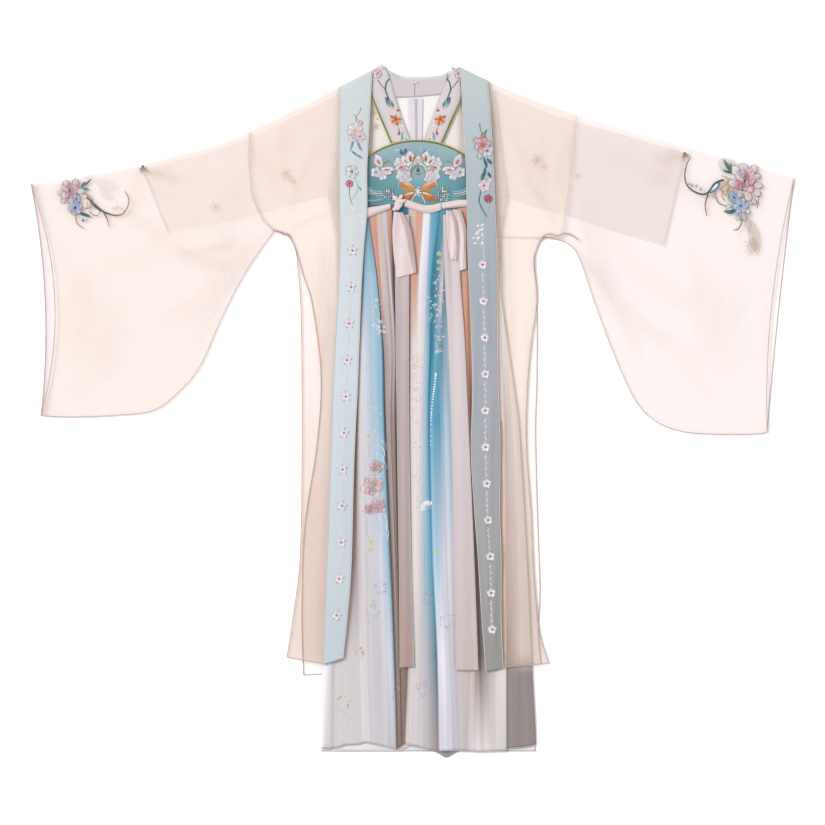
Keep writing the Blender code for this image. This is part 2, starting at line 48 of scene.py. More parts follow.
STUDIO_LIGHT = 1.28    # brightness of a flat white sheet in this light; a display shows 1.0 as white

# Undersides of the layers, as the solids stack them.
ROBE_BACK_Z = 0.2
SKIRT_BACK_Z = 1.4
TOP_BACK_Z = 2.7
TOP_FRONT_Z = 4.0
CHEST_Z = 5.3
TIE_Z = 8.9
BAND_Z = 11.0
RIBBON_Z = 11.0
TAIL_Z = 12.3
LOOP_Z = 13.6

ARMHOLE = {
    "left": ((0.0, -324, 559), (0.35, -324, 489), (0.65, -319, 430), (0.89, -297, 382),
             (1.0, -275, 360)),
    "right": ((0.0, 325, 593), (0.35, 319, 505), (0.65, 311, 430), (0.89, 301, 370), (1.0, 295, 342)),
}
# Robe sleeves from the cuff: top x, y and foot x, y of a section, and how far its front and back
# walls bow towards +X at mid depth.
ROBE_SLEEVE = {
    "left": (
        (-763, 454, -743, -9, 38, 18),
        (-705, 460, -681, -12, 24, 14),
        (-625, 476, -585, -8, 10, 8),
        (-545, 492, -521, 0, 4, 4),
        (-495, 506, -475, 30, 0, 0),
        (-445, 518, -425, 88, 0, 0),
        (-401, 530, -381, 186, 0, 0),
        (-361, 544, -335, 274, -6, -6),
        (-324, 559, -275, 360, 0, 0),
    ),
    "right": (
        (763, 466, 709, -42, -18, -3),
        (715, 483, 685, -46, -12, -3),
        (655, 498, 595, -46, -6, -3),
        (595, 514, 535, -40, 0, 0),
        (555, 526, 485, -20, 0, 0),
        (505, 540, 445, 22, 0, 0),
        (455, 554, 405, 108, 0, 0),
        (405, 569, 365, 214, 0, 0),
        (355, 584, 329, 314, 2, 2),
        (325, 593, 295, 342, 0, 0),
    ),
}
TOP_SLEEVE = {
    "left": ((-539, 483, -487, 356), (-465, 502, -399, 373), (-395, 520, -345, 384),
             (-327, 546, -301, 394), (-225, 596, -235, 414), (-141, 637, -169, 430)),
    "right": ((544, 516, 501, 330), (475, 536, 447, 346), (395, 560, 385, 364),
              (325, 579, 325, 384), (255, 602, 255, 404), (163, 642, 191, 426)),
}
ROBE_YOKE = ((-135, 654, 161, 654), (-225, 608, 251, 618))
ROBE_BACK_SKIRT = (
    (-250, 352, 263, 347),
    (-232, 318, 246, 318),
    (-218, 270, 243, 290),
    (-200, 210, 249, 222),
    (-183, 72, 249, 72),
    (-191, -68, 246, -48),
    (-215, -228, 251, -238),
    (-221, -378, 255, -358),
    (-220, -470, 252, -440),
    (-218, -528, 257, -506),
)
# Robe fronts: inner x, y at each share of the armhole, then inner x, y and outer x, y of lower rows.
FRONT_ARM = {
    "left": ((0.0, -138, 652), (0.05, -138, 640), (0.35, -138, 560), (0.65, -138, 480),
             (0.89, -137, 430), (1.0, -137, 400)),
    "right": ((0.0, 143, 664), (0.05, 143, 652), (0.35, 149, 575), (0.65, 153, 490),
              (0.89, 155, 430), (1.0, 157, 395)),
}
FRONT_SIDE = {
    "left": (
        (-136, 370, -250, 352),
        (-137, 330, -234, 322),
        (-139, 290, -229, 286),
        (-142, 200, -223, 202),
        (-151, 60, -221, 60),
        (-156, -110, -221, -110),
        (-163, -298, -225, -298),
        (-168, -420, -240, -420),
        (-171, -505, -251, -492),
    ),
    "right": (
        (158, 370, 263, 347),
        (160, 330, 248, 322),
        (161, 290, 245, 290),
        (161, 222, 249, 222),
        (162, 130, 237, 130),
        (164, 30, 229, 30),
        (167, -75, 228, -75),
        (167, -200, 237, -200),
        (169, -330, 243, -330),
        (170, -440, 254, -440),
        (173, -512, 273, -504),
    ),
}
# Front bands: edge beside the front x, y, free edge x, y, height of the underside.
ROBE_BAND = {
    "left": (
        (-146, 648, -79, 682, 2.8),
        (-147, 636, -81, 668, 6.5),
        (-147, 560, -87, 560, BAND_Z),
        (-147, 480, -91, 480, BAND_Z),
        (-146, 400, -91, 400, BAND_Z),
        (-145, 330, -97, 330, BAND_Z),
        (-149, 230, -103, 230, BAND_Z),
        (-158, 66, -109, 66, BAND_Z),
        (-164, -110, -117, -110, BAND_Z),
        (-171, -298, -122, -298, BAND_Z),
        (-175, -400, -129, -400, BAND_Z),
        (-179, -506, -139, -494, BAND_Z),
    ),
    "right": (
        (151, 660, 94, 687, 2.8),
        (151, 648, 96, 675, 6.5),
        (157, 575, 102, 575, BAND_Z),
        (161, 490, 107, 490, BAND_Z),
        (165, 400, 109, 400, BAND_Z),
        (169, 300, 111, 300, BAND_Z),
        (169, 222, 115, 222, BAND_Z),
        (171, 56, 120, 56, BAND_Z),
        (175, -76, 117, -76, BAND_Z),
        (174, -190, 124, -190, BAND_Z),
        (177, -298, 133, -298, BAND_Z),
        (177, -418, 139, -418, BAND_Z),
        (181, -514, 145, -520, BAND_Z),
    ),
}
ROBE_NECK = (
    (-57, 689, 630), (-41, 678, 626), (-17, 669, 620), (17, 668, 616),
    (53, 671, 620), (73, 680, 626), (91, 687, 630),
)
TOP_BODY = ((-155, 178, 350), (-150, 173, 182))
TOP_NECK = ((0.0, -65, 668, 83, 668), (0.1, -49, 628, 69, 628), (0.45, -31, 582, 49, 586),
            (0.75, -13, 532, 31, 532))
TOP_COLLAR = {
    "left": ((-79, 682, -60, 694), (-80, 662, -45, 662), (-81, 632, -35, 628), (-61, 584, -21, 584),
             (-41, 536, -5, 542)),
    "right": ((94, 689, 81, 678), (95, 662, 71, 662), (97, 626, 57, 633), (77, 580, 40, 587),
              (58, 536, 23, 542)),
}
TOP_COLLAR_BACK = {
    "left": ((-44, 676, 626), (-17, 663, 627), (4.5, 662, 628)),
    "right": ((5.5, 662, 628), (31, 664, 630), (57, 668, 633), (69, 676, 634)),
}
PIPING_ENDS = {"left": ((-82.6, 631), (-42.8, 536)), "right": ((98.6, 625), (59.8, 536))}
CHEST_LEFT, CHEST_RIGHT = -142.0, 160.0
CHEST_FOOT = 410.0
CHEST_END_TOP = 478.0
CHEST_ARC_CENTRE = (10.0, 372.0)
CHEST_ARC_RADIUS = 166.0
CHEST_WALL = 1.7


def seen(red, green, blue):
    """The base colour that shows as this display colour under the studio's light."""
    return tuple(((level / 255 + 0.055) / 1.055) ** 2.4 / STUDIO_LIGHT for level in (red, green, blue))


# ---------------------------------------------------------------- finishes

WAVE_BANDS = 3.2       # bands that a wave texture shows in each unit of its scale


class Value:
    """A node's output; arithmetic on it adds Math nodes to its finish."""

    def __init__(self, finish, socket):
        self.finish = finish
        self.socket = socket

    def maths(self, operation, *values):
        return self.finish.node("ShaderNodeMath", {"operation": operation}, dict(enumerate(values)))

    def __add__(self, other):
        return self.maths("ADD", self, other)

    def __sub__(self, other):
        return self.maths("SUBTRACT", self, other)

    def __mul__(self, other):
        return self.maths("MULTIPLY", self, other)

    __radd__ = __add__
    __rmul__ = __mul__


class Finish:
    """A Principled material and the helpers that build its nodes."""

    def __init__(self, name, **constants):
        self.material = bpy.data.materials.new(name)
        self.material.use_nodes = True
        self.tree = self.material.node_tree
        self.shader = self.tree.nodes["Principled BSDF"]
        for key, value in constants.items():
            self.shader.inputs[key.replace("_", " ").title().replace("Ior",
                                                                     "IOR")].default_value = value

    def node(self, kind, settings, inputs, output=0):
        made = self.tree.nodes.new(kind)
        for key, value in settings.items():
            setattr(made, key, value)
        for key, value in inputs.items():
            if isinstance(value, Value):
                self.tree.links.new(value.socket, made.inputs[key])
            else:
                made.inputs[key].default_value = value
        return Value(self, made.outputs[output])

    def feed(self, socket, value):
        self.tree.links.new(value.socket, self.shader.inputs[socket])

    def place(self, stretch=(1, 1, 1), turn=0.0, source="Object"):
        """Object coordinates, or the piece's own UV, scaled and turned."""
        at = self.node("ShaderNodeTexCoord", {}, {}, source)
        return self.node("ShaderNodeMapping", {}, {"Vector": at, "Scale": stretch,
                                                   "Rotation": (0, 0, turn)})

    def noise(self, at, scale, detail=2.0, roughness=0.5):
        return self.node("ShaderNodeTexNoise", {},
                         {"Vector": at, "Scale": scale, "Detail": detail, "Roughness": roughness})

    def threads(self, at, scale, direction="X"):
        """Fine rows of thread, from 0 between them to 1 on them."""
        settings = {"wave_type": "BANDS", "bands_direction": direction}
        return self.node("ShaderNodeTexWave", settings, {"Vector": at, "Scale": scale,
                                                         "Distortion": 0.6}, 1)

    def attribute(self, name, output):
        return self.node("ShaderNodeAttribute", {"attribute_name": name}, {}, output)

    def mixed(self, share, first, second, blend="MIX"):
        settings = {"data_type": "RGBA", "blend_type": blend}
        return self.node("ShaderNodeMix", settings, {0: share, 6: first, 7: second}, 2)

    def grey(self, level):
        """A grey colour from a level."""
        return self.node("ShaderNodeCombineColor", {}, {0: level, 1: level, 2: level})

    def tint(self, colour, tone):
        """The base colour: a colour made lighter and darker by a grey tone."""
        self.feed("Base Color", self.mixed(1.0, colour, self.grey(tone), "MULTIPLY"))

    def relief(self, height, depth):
        self.feed("Normal", self.node("ShaderNodeBump", {}, {"Strength": 1.0, "Distance": depth,
                                                             "Height": height}))


def woven(name, pitch, roughness, sheen, streak, crepe, depth=None, turn=0.0):
    """Cloth coloured by its colour attribute, painted shade and highlights included, with threads a
    pitch apart.

    Cloth with no depth of weave is sheer: its cover attribute says how much it hides.
    """
    finish = Finish(name, roughness=roughness, sheen_weight=sheen, sheen_roughness=0.5,
                    specular_ior_level=0.2)
    at = finish.place(turn=turn)
    scale = 1 / pitch / WAVE_BANDS
    threads = finish.threads(at, scale) * 0.5 + finish.threads(at, scale, "Y") * 0.5
    grain = finish.noise(at, 260, 3.0, 0.65)
    streaks = finish.noise(finish.place((1, 0.035, 1), turn), 240, 2.0)
    tone = 1.0 + (grain - 0.5) * crepe + (streaks - 0.5) * streak + (threads - 0.5) * 0.06
    finish.tint(finish.attribute("dye_and_painted_light", "Color"), tone)
    if depth is None:
        finish.feed("Alpha", finish.attribute("cover", "Fac"))
    else:
        finish.relief(grain * 0.6 + threads * 0.25 + streaks * 0.4, depth)
    return finish.material


def thread_finish():
    """Satin-stitched embroidery: a colour attribute with stitches across each shape."""
    finish = Finish("embroidery_thread", roughness=0.42, sheen_weight=0.25, specular_ior_level=0.45)
    at = finish.place(source="UV")
    stitches = finish.threads(at, 3.0)
    fuzz = finish.noise(finish.place(), 900, 2.0)
    finish.tint(finish.attribute("dye_and_painted_light", "Color"), 0.94 + stitches * 0.14 + fuzz * 0.10)
    finish.relief(stitches * 0.7 + fuzz * 0.3, 0.0004)
    return finish.material


def print_finish():
    """Dye printed on the skirt: soft-edged colour that lets the cloth show through."""
    finish = Finish("skirt_print", roughness=0.75, specular_ior_level=0.15)
    speckle = finish.noise(finish.place(), 420, 3.0)
    finish.tint(finish.attribute("dye_and_painted_light", "Color"), 0.9 + speckle * 0.2)
    finish.feed("Alpha", finish.attribute("cover", "Fac") * (0.7 + speckle * 0.5))
    return finish.material


def plain_finish(name, colour, roughness, ripple, depth, **constants):
    """A single-coloured trim with fine turns of thread or tool marks a ripple apart."""
    finish = Finish(name, roughness=roughness, **constants)
    at = finish.place()
    marks = finish.threads(at, 1 / ripple / WAVE_BANDS, "DIAGONAL")
    wear = finish.noise(at, 180, 3.0)
    finish.tint((*colour, 1.0), 0.9 + marks * 0.1 + (wear - 0.5) * 0.18)
    finish.relief(marks, depth)
    return finish.material


def stone_finish():
    """Cut glass stones: bright facets over smoky pink and grey; the facets' random tints are painted
    reflections.
    """
    finish = Finish("glass_stone", roughness=0.12, metallic=0.35, coat_weight=1.0, coat_roughness=0.05)
    facet_glints = finish.node("ShaderNodeTexVoronoi", {}, {"Vector": finish.place(), "Scale": 420}, 1)
    finish.feed("Base Color", finish.mixed(0.35, finish.attribute("dye_and_painted_light", "Color"), facet_glints))
    return finish.material


CHIFFON = woven("robe_chiffon", 0.0009, 0.85, 0.15, 0.05, 0.10, turn=0.25)
CREAM = woven("top_chiffon", 0.0009, 0.85, 0.1, 0.04, 0.08)
SKIRT = woven("skirt_chiffon", 0.0008, 0.75, 0.1, 0.05, 0.06, 0.0006)
SATIN = woven("band_satin", 0.0007, 0.5, 0.15, 0.05, 0.05, 0.0004, turn=0.6)
BROCADE = woven("chest_satin", 0.0012, 0.5, 0.15, 0.10, 0.12, 0.0006, turn=0.78)
RIBBON = woven("ribbon_satin", 0.0008, 0.5, 0.2, 0.10, 0.05, 0.0006)
THREAD = thread_finish()
PRINT = print_finish()
STONE = stone_finish()
PEACH_HEM = plain_finish("peach_rolled_hem", seen(214, 184, 170), 0.7, 0.0012, 0.0004)
BLUE_HEM = plain_finish("grey_rolled_hem", seen(196, 190, 194), 0.7, 0.0012, 0.0004)
TAN_SEAM = plain_finish("tan_seam", seen(236, 200, 176), 0.7, 0.0010, 0.0003)
SOFT_HEM = plain_finish("soft_hem", seen(240, 220, 212), 0.8, 0.0010, 0.0003)
RUST_SEAM = plain_finish("rust_seam", seen(206, 160, 132), 0.7, 0.0010, 0.0003)
CREAM_EDGE = plain_finish("cream_edge", seen(236, 226, 216), 0.6, 0.0010, 0.0003)
OLIVE = plain_finish("olive_cord", seen(128, 128, 52), 0.55, 0.0016, 0.0005)
YELLOW = plain_finish("yellow_cord", seen(238, 232, 140), 0.55, 0.0016, 0.0005)
PEARL = plain_finish("pearl_button", seen(240, 240, 244), 0.25, 0.0020, 0.0001, coat_weight=0.6)
TAPE = plain_finish("zip_tape", seen(216, 208, 222), 0.6, 0.0009, 0.0003)


# ---------------------------------------------------------------- curves, creases and colours

def mix(first, second, share):
    return first + (second - first) * share


def blend(first, second, share):
    return tuple(mix(a, b, share) for a, b in zip(first, second))


def eased(value, low=0.0, high=1.0):
    """A soft step from 0 at low to 1 at high."""
    t = min(max((value - low) / (high - low), 0.0), 1.0)
    return t * t * (3 - 2 * t)


def smooth(values, position):
    """A smooth curve through evenly spaced values, read at a position counted in steps."""
    last = len(values) - 1
    step = min(int(position), last - 1)
    t = position - step
    before, start, end, after = (values[min(max(step + k, 0), last)] for k in (-1, 0, 1, 2))
    return 0.5 * (2 * start + (end - before) * t + (2 * before - 5 * start + 4 * end - after) * t * t
                  + (3 * start - before - 3 * end + after) * t ** 3)


def row_at(rows, share):
    """All the columns of a table read smoothly at a share of its length."""
    position = share * (len(rows) - 1)
    return [smooth(column, position) for column in zip(*rows)]


def at_share(table, share):
    """The columns after the first, on straight runs between a table's rows, at a share in the first."""
    for (s0, *start), (s1, *end) in zip(table, table[1:]):
        if share <= s1:
            t = (share - s0) / (s1 - s0)
            return [mix(a, b, t) for a, b in zip(start, end)]
    return list(table[-1][1:])


def cornered(rows, corner, share):
    """A table read along straight runs as far as its corner row and smoothly past it."""
    position = share * (len(rows) - 1)
    if position < corner:
        step = int(position)
        return [mix(a, b, position - step) for a, b in zip(rows[step], rows[step + 1])]
    tail = rows[corner:]
    return [smooth(column, position - corner) for column in zip(*tail)]


def ridges(creases, x, y):
    """How far the soft creases lift a point, and how strongly they bunch the cloth there: the bunching
    thickens the cover of sheer cloth and also darkens its colour, as painted shade in the creases.

    A crease runs from x, y to x, y with a bow to its left, a width, a height, and a strength of
    bunching that also sets its painted shade.
    """
    lift = gather_and_shade = 0.0
    for x0, y0, x1, y1, bow, width, height, pull_and_shade in creases:
        run_x, run_y = x1 - x0, y1 - y0
        length = math.hypot(run_x, run_y)
        t = ((x - x0) * run_x + (y - y0) * run_y) / length ** 2
        if not 0.0 < t < 1.0:
            continue
        off = ((x - x0) * run_y - (y - y0) * run_x) / length + bow * math.sin(math.pi * t)
        if abs(off) > 3 * width:
            continue
        swell = min(1.0, 4 * t, 4 * (1 - t))
        swell = swell * swell * (3 - 2 * swell)
        lift += height * swell * math.exp(-(off / width) ** 2)
        side = (off - 0.9 * width) / width
        gather_and_shade += pull_and_shade * swell * math.exp(-side * side)
    return lift, gather_and_shade


# ---------------------------------------------------------------- cloth and cords

surfaces = {}


def keep(piece, *nodes, slot=None):
    """The piece rides with the set and stands for its CAD nodes."""
    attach(piece, "root")
    if nodes:
        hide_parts(*nodes)
    return piece


def piece_name(name):
    """A piece that stands for a CAD node of the same name has a name of its own."""
    return f"{name}_cloth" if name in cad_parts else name


def add_piece(name, bm, finish, smooth_faces=True):
    bmesh.ops.scale(bm, vec=(MM, MM, MM), verts=bm.verts)
    mesh = bpy.data.meshes.new(name)
    for face in bm.faces:
        face.smooth = smooth_faces
    bm.to_mesh(mesh)
    surfaces[name] = BVHTree.FromBMesh(bm)
    bm.free()
    piece = bpy.data.objects.new(piece_name(name), mesh)
    piece.data.materials.append(finish)
    bpy.context.scene.collection.objects.link(piece)
    return piece


def dyed_grid(columns, rows):
    """A flat grid one unit wide, with layers for the colour and the cover of its points."""
    bm = bmesh.new()
    bmesh.ops.create_grid(bm, x_segments=columns, y_segments=rows, size=0.5)
    # The colour layer holds each point's colour, painted shade and highlights included.
    return bm, bm.verts.layers.float_color.new("dye_and_painted_light"), bm.verts.layers.float.new("cover")


def walled(name, bm, finish, wall):
    """The mesh as a piece, thickened downwards by its cloth's wall."""
    piece = add_piece(name, bm, finish)
    shell = piece.modifiers.new("wall", "SOLIDIFY")
    shell.thickness = wall * MM
    shell.offset = -1.0
    return piece


def cloth(name, finish, columns, rows, place, dye_and_painted_light, cover=1.0, creases=(), wall=0.5):
    """A thin sheet: place(u, v) gives x, y, z of the point a share u across and v down it.

    dye(u, v, x, y, gather) gives its colour; cover, a number or a function of the same shares, says
    how much of what lies below it hides.
    """
    bm, colour, sheer = dyed_grid(columns, rows)
    for vert in bm.verts:
        u, v = vert.co.x + 0.5, 0.5 - vert.co.y
        x, y, z = place(u, v)
        # Creases lift the point and bunch the cloth: the bunching thickens its cover and darkens its
        # colour as painted shade.
        lift, gather_and_shade = ridges(creases, x, y)
        vert.co = (x, y, z + lift)
        vert[colour] = (*(dye_and_painted_light(u, v, x, y, gather_and_shade) if callable(dye_and_painted_light) else dye_and_painted_light), 1.0)
        hidden = cover(u, v, x, y) if callable(cover) else cover
        vert[sheer] = min(1.0, hidden * (1.0 + 1.8 * gather_and_shade))
    bm.normal_update()
    if sum(face.normal.z * face.calc_area() for face in bm.faces) < 0:
        bmesh.ops.reverse_faces(bm, faces=bm.faces)
    return walled(name, bm, finish, wall)


def tube_cloth(name, finish, columns, rows, place, dye_and_painted_light, cover, creases=(), wall=0.5):
    """A flattened sleeve: place(u, v) runs round it with u, from its top fold over the front."""
    bm, colour, sheer = dyed_grid(columns, rows)
    for vert in bm.verts:
        u, v = (vert.co.x + 0.5) % 1.0, 0.5 - vert.co.y
        x, y, z = place(u, v)
        # Creases lift the front and bunch the cloth: the bunching thickens its cover and darkens its
        # colour as painted shade.
        lift, gather_and_shade = ridges(creases, x, y) if u < 0.5 else (0.0, 0.0)
        lift *= max(0.0, math.sin(2 * math.pi * u)) ** 0.5
        vert.co = (x, y, z + lift)
        vert[colour] = (*dye_and_painted_light(u, v, x, y, gather_and_shade), 1.0)
        vert[sheer] = min(1.0, cover(u, v, x, y) * (1.0 + 2.2 * gather_and_shade))
    bmesh.ops.remove_doubles(bm, verts=bm.verts, dist=0.001)
    bmesh.ops.recalc_face_normals(bm, faces=bm.faces)
    bm.normal_update()
    top = max(bm.faces, key=lambda face: face.calc_center_median().z)
    if top.normal.z < 0:
        bmesh.ops.reverse_faces(bm, faces=bm.faces)
    return walled(name, bm, finish, wall)


def cords(name, finish, runs, radius):
    """Rolled edges, pipings and seams: round cords along runs of points."""
    curve = bpy.data.curves.new(name, "CURVE")
    curve.dimensions = "3D"
    curve.bevel_depth = radius * MM
    curve.bevel_resolution = 2
    curve.use_fill_caps = True
    for points in runs:
        spline = curve.splines.new("POLY")
        spline.points.add(len(points) - 1)
        for point, (x, y, z) in zip(spline.points, points):
            point.co = (x * MM, y * MM, z * MM, 1.0)
    curve.materials.append(finish)
    piece = bpy.data.objects.new(piece_name(name), curve)
    bpy.context.scene.collection.objects.link(piece)
    return piece


def edge(place, across=None, down=None, start=0.0, end=1.0, count=90, raise_by=0.0):
    """Points along a line of constant u (across) or constant v (down) of a cloth's place function."""
    points = []
    for k in range(count + 1):
        share = mix(start, end, k / count)
        x, y, z = place(across, share) if across is not None else place(share, down)
        points.append((x, y, z + raise_by))
    return points


def height_on(names, x, y, default):
    """Height of the highest of the named cloths at x, y."""
    best = None
    for name in names:
        hit = surfaces[name].ray_cast(Vector((x * MM, y * MM, 0.1)), Vector((0, 0, -1)))[0]
        if hit is not None and (best is None or hit.z > best):
            best = hit.z
    return default if best is None else best / MM


# ---------------------------------------------------------------- embroidery shapes

class Stitching:
    """Flat shapes gathered into one mesh and laid on a cloth."""

    def __init__(self, finish=None):
        self.bm = bmesh.new()
        self.colour = self.bm.verts.layers.float_color.new("dye_and_painted_light")
        self.cover = self.bm.verts.layers.float.new("cover")
        self.uv = self.bm.loops.layers.uv.new("stitches")
        self.finish = finish or THREAD
        self.mirror = None

    def shape(self, columns, rows, place, dye_and_painted_light, cover=1.0, turns=4):
        """A patch whose point (u, v) lies at place(u, v), with stitches across v."""
        made = bmesh.ops.create_grid(self.bm, x_segments=columns, y_segments=rows, size=0.5)
        shares = {}
        for vert in made["verts"]:
            u, v = vert.co.x + 0.5, vert.co.y + 0.5
            shares[vert] = (u * turns, v * turns)
            x, y, z = place(u, v)
            vert.co = (x if self.mirror is None else 2 * self.mirror - x, y, z)
            vert[self.colour] = (*(dye_and_painted_light(u, v) if callable(dye_and_painted_light) else dye_and_painted_light), 1.0)
            vert[self.cover] = cover(u, v) if callable(cover) else cover
        for face in {face for vert in made["verts"] for face in vert.link_faces}:
            for loop in face.loops:
                loop[self.uv].uv = shares[loop.vert]

    def petal(self, x, y, angle, length, width, base, tip, lift=0.8, fullness=0.7, cover=1.0):
        """A petal from x, y towards an angle in degrees, from its base colour to its tip colour."""
        across_x, across_y = -math.sin(math.radians(angle)), math.cos(math.radians(angle))
        along_x, along_y = across_y, -across_x

        def place(u, v):
            side = 2 * u - 1
            half = 0.5 * width * math.sin(math.pi * (0.05 + 0.93 * v) ** (1 / fullness)) ** 0.75
            reach = length * v * (1.0 - 0.08 * side * side)
            return (x + along_x * reach + across_x * side * half,
                    y + along_y * reach + across_y * side * half,
                    lift * (1 - side * side) * math.sin(math.pi * v) ** 0.6)

        self.shape(4, 5, place, lambda u, v: blend(base, tip,
                                                   eased(v + 0.6 * abs(u - 0.5), 0.15, 0.75)), cover)

    def flower(self, x, y, radius, petals, base, tip, heart, turn=0.0, lift=0.8, cover=1.0):
        for k in range(petals):
            angle = turn + 360 * k / petals
            self.petal(x, y, angle, radius, 1.05 * math.pi * radius / petals, base, tip, lift,
                       cover=cover)
        self.bead(x, y, 0.2 * radius, heart, lift + 0.4, cover)

    def bead(self, x, y, radius, colour, lift=0.6, cover=1.0):
        """A small round boss."""
        def place(u, v):
            angle, reach = 2 * math.pi * u, radius * v
            high = lift * math.sqrt(1.0 - 0.9 * v * v)
            return x + reach * math.cos(angle), y + reach * math.sin(angle), high
        self.shape(8, 2, place, colour, cover)

    def gem(self, x, y, radius, colour):
        """A cut stone with a flat table."""
        def place(u, v):
            angle, reach = 2 * math.pi * u, radius * min(1.0, v * 1.6)
            high = 1.1 * (1.0 if v < 0.6 else 0.15)
            return x + reach * math.cos(angle), y + reach * math.sin(angle), high
        self.shape(6, 2, place, colour)

    def leaf(self, x, y, angle, length, width, base, tip, bend=0.0, lift=0.6, cover=1.0):
        """A leaf with both ends pointed, bent sideways by a share of its length."""
        turn = math.radians(angle)

        def place(u, v):
            side = 2 * u - 1
            reach = length * v
            off = (bend * length * math.sin(math.pi * v * 0.5) ** 2
                   + 0.5 * width * side * math.sin(math.pi * v) ** 0.8)
            return (x + reach * math.cos(turn) - off * math.sin(turn),
                    y + reach * math.sin(turn) + off * math.cos(turn),
                    lift * (1 - side * side) * math.sin(math.pi * v))

        self.shape(3, 6, place, lambda u, v: blend(base, tip, eased(v)), cover)

    def stem(self, points, width, colour, taper=0.4, lift=0.5, end_colour=None, cover=1.0):
        """A line of stitches through points, thinner towards its end."""
        count = 5 * (len(points) - 1)

        def place(u, v):
            x, y = row_at(points, v)
            ahead, behind = row_at(points, min(1.0, v + 0.02)), row_at(points, max(0.0, v - 0.02))
            run_x, run_y = ahead[0] - behind[0], ahead[1] - behind[1]
            length = math.hypot(run_x, run_y) or 1.0
            half = 0.5 * width * (1.0 - (1.0 - taper) * v) * (2 * u - 1)
            return x - run_y / length * half, y + run_x / length * half, lift * (1 - (2 * u - 1) ** 2)

        end = end_colour or colour
        self.shape(2, count, place, lambda u, v: blend(colour, end, v), cover, turns=count)

    def dash(self, x0, y0, x1, y1, width, colour, lift=0.4, cover=1.0):
        self.stem([(x0, y0), (x1, y1)], width, colour, taper=1.0, lift=lift, cover=cover)

    def lay(self, name, on, default, clearance=0.15):
        """Lay the shapes on the named cloths and make them one piece."""
        for vert in self.bm.verts:
            ground = height_on(on, vert.co.x, vert.co.y, default)
            vert.co.z += ground + clearance
        self.bm.normal_update()
        turned = [face for face in self.bm.faces if face.normal.z < 0]
        bmesh.ops.reverse_faces(self.bm, faces=turned)
        return add_piece(name, self.bm, self.finish)


# ---------------------------------------------------------------- the robe

PEACH = seen(255, 228, 216)
PEACH_RIGHT = seen(255, 235, 230)
# Painted shade for the sheer cloths' creases and the sleeves' folded edges.
PEACH_FOLD_SHADE = seen(222, 172, 146)
CUFF_LINING = seen(246, 226, 228)
PEACH_BODY = seen(250, 216, 198)

SLEEVE_CREASES = {
    "left": (
        # x, y to x, y, bow, width, height, bunching (also painted shade)
        (-300, 372, -520, 150, 26, 16, 4.5, 0.10),
        (-285, 362, -440, 120, -14, 11, 4.0, 0.12),
        (-330, 470, -640, 250, 40, 26, 4.0, 0.06),
        (-330, 540, -600, 420, -20, 20, 3.5, 0.06),
        (-345, 500, -420, 240, 18, 15, 3.5, 0.09),
        (-700, 400, -690, 60, 22, 20, 3.0, 0.05),
        (-610, 330, -640, 30, -26, 24, 3.5, 0.05),
        (-560, 200, -700, 0, 20, 18, 3.0, 0.05),
        (-480, 330, -350, 300, -8, 12, 3.0, 0.10),
        (-537, 484, -460, 458, 6, 9, 2.4, 0.16),
        (-537, 482, -480, 492, -3, 7, 2.0, 0.14),
        (-540, 478, -560, 396, 8, 10, 2.4, 0.10),
        (-500, 330, -340, 356, -16, 9, 3.0, 0.16),
        (-590, 420, -480, 332, 10, 15, 2.6, 0.10),
        (-650, 300, -640, 80, 18, 24, 2.6, 0.08),
        (-560, 250, -590, 40, -14, 20, 2.6, 0.08),
    ),
    "right": (
        (330, 360, 560, 120, -26, 16, 4.5, 0.10),
        (318, 350, 470, 90, 14, 11, 4.0, 0.12),
        (350, 470, 420, 230, -18, 14, 4.0, 0.12),
        (345, 540, 620, 400, 22, 20, 3.5, 0.06),
        (355, 440, 640, 210, -40, 26, 4.0, 0.06),
        (660, 420, 655, 60, -22, 24, 3.5, 0.02),
        (590, 330, 640, 20, 26, 24, 3.5, 0.05),
        (520, 180, 660, 0, -20, 18, 3.0, 0.05),
        (720, 380, 700, 20, -10, 14, 2.6, 0.03),
        (542, 508, 480, 488, 4, 8, 2.2, 0.18),
        (542, 506, 500, 520, -3, 6, 1.8, 0.16),
        (700, 300, 600, 60, -16, 18, 2.6, 0.03),
        (560, 360, 590, 120, 14, 18, 2.6, 0.08),
        (640, 250, 560, 60, 12, 16, 2.4, 0.07),
    ),
}


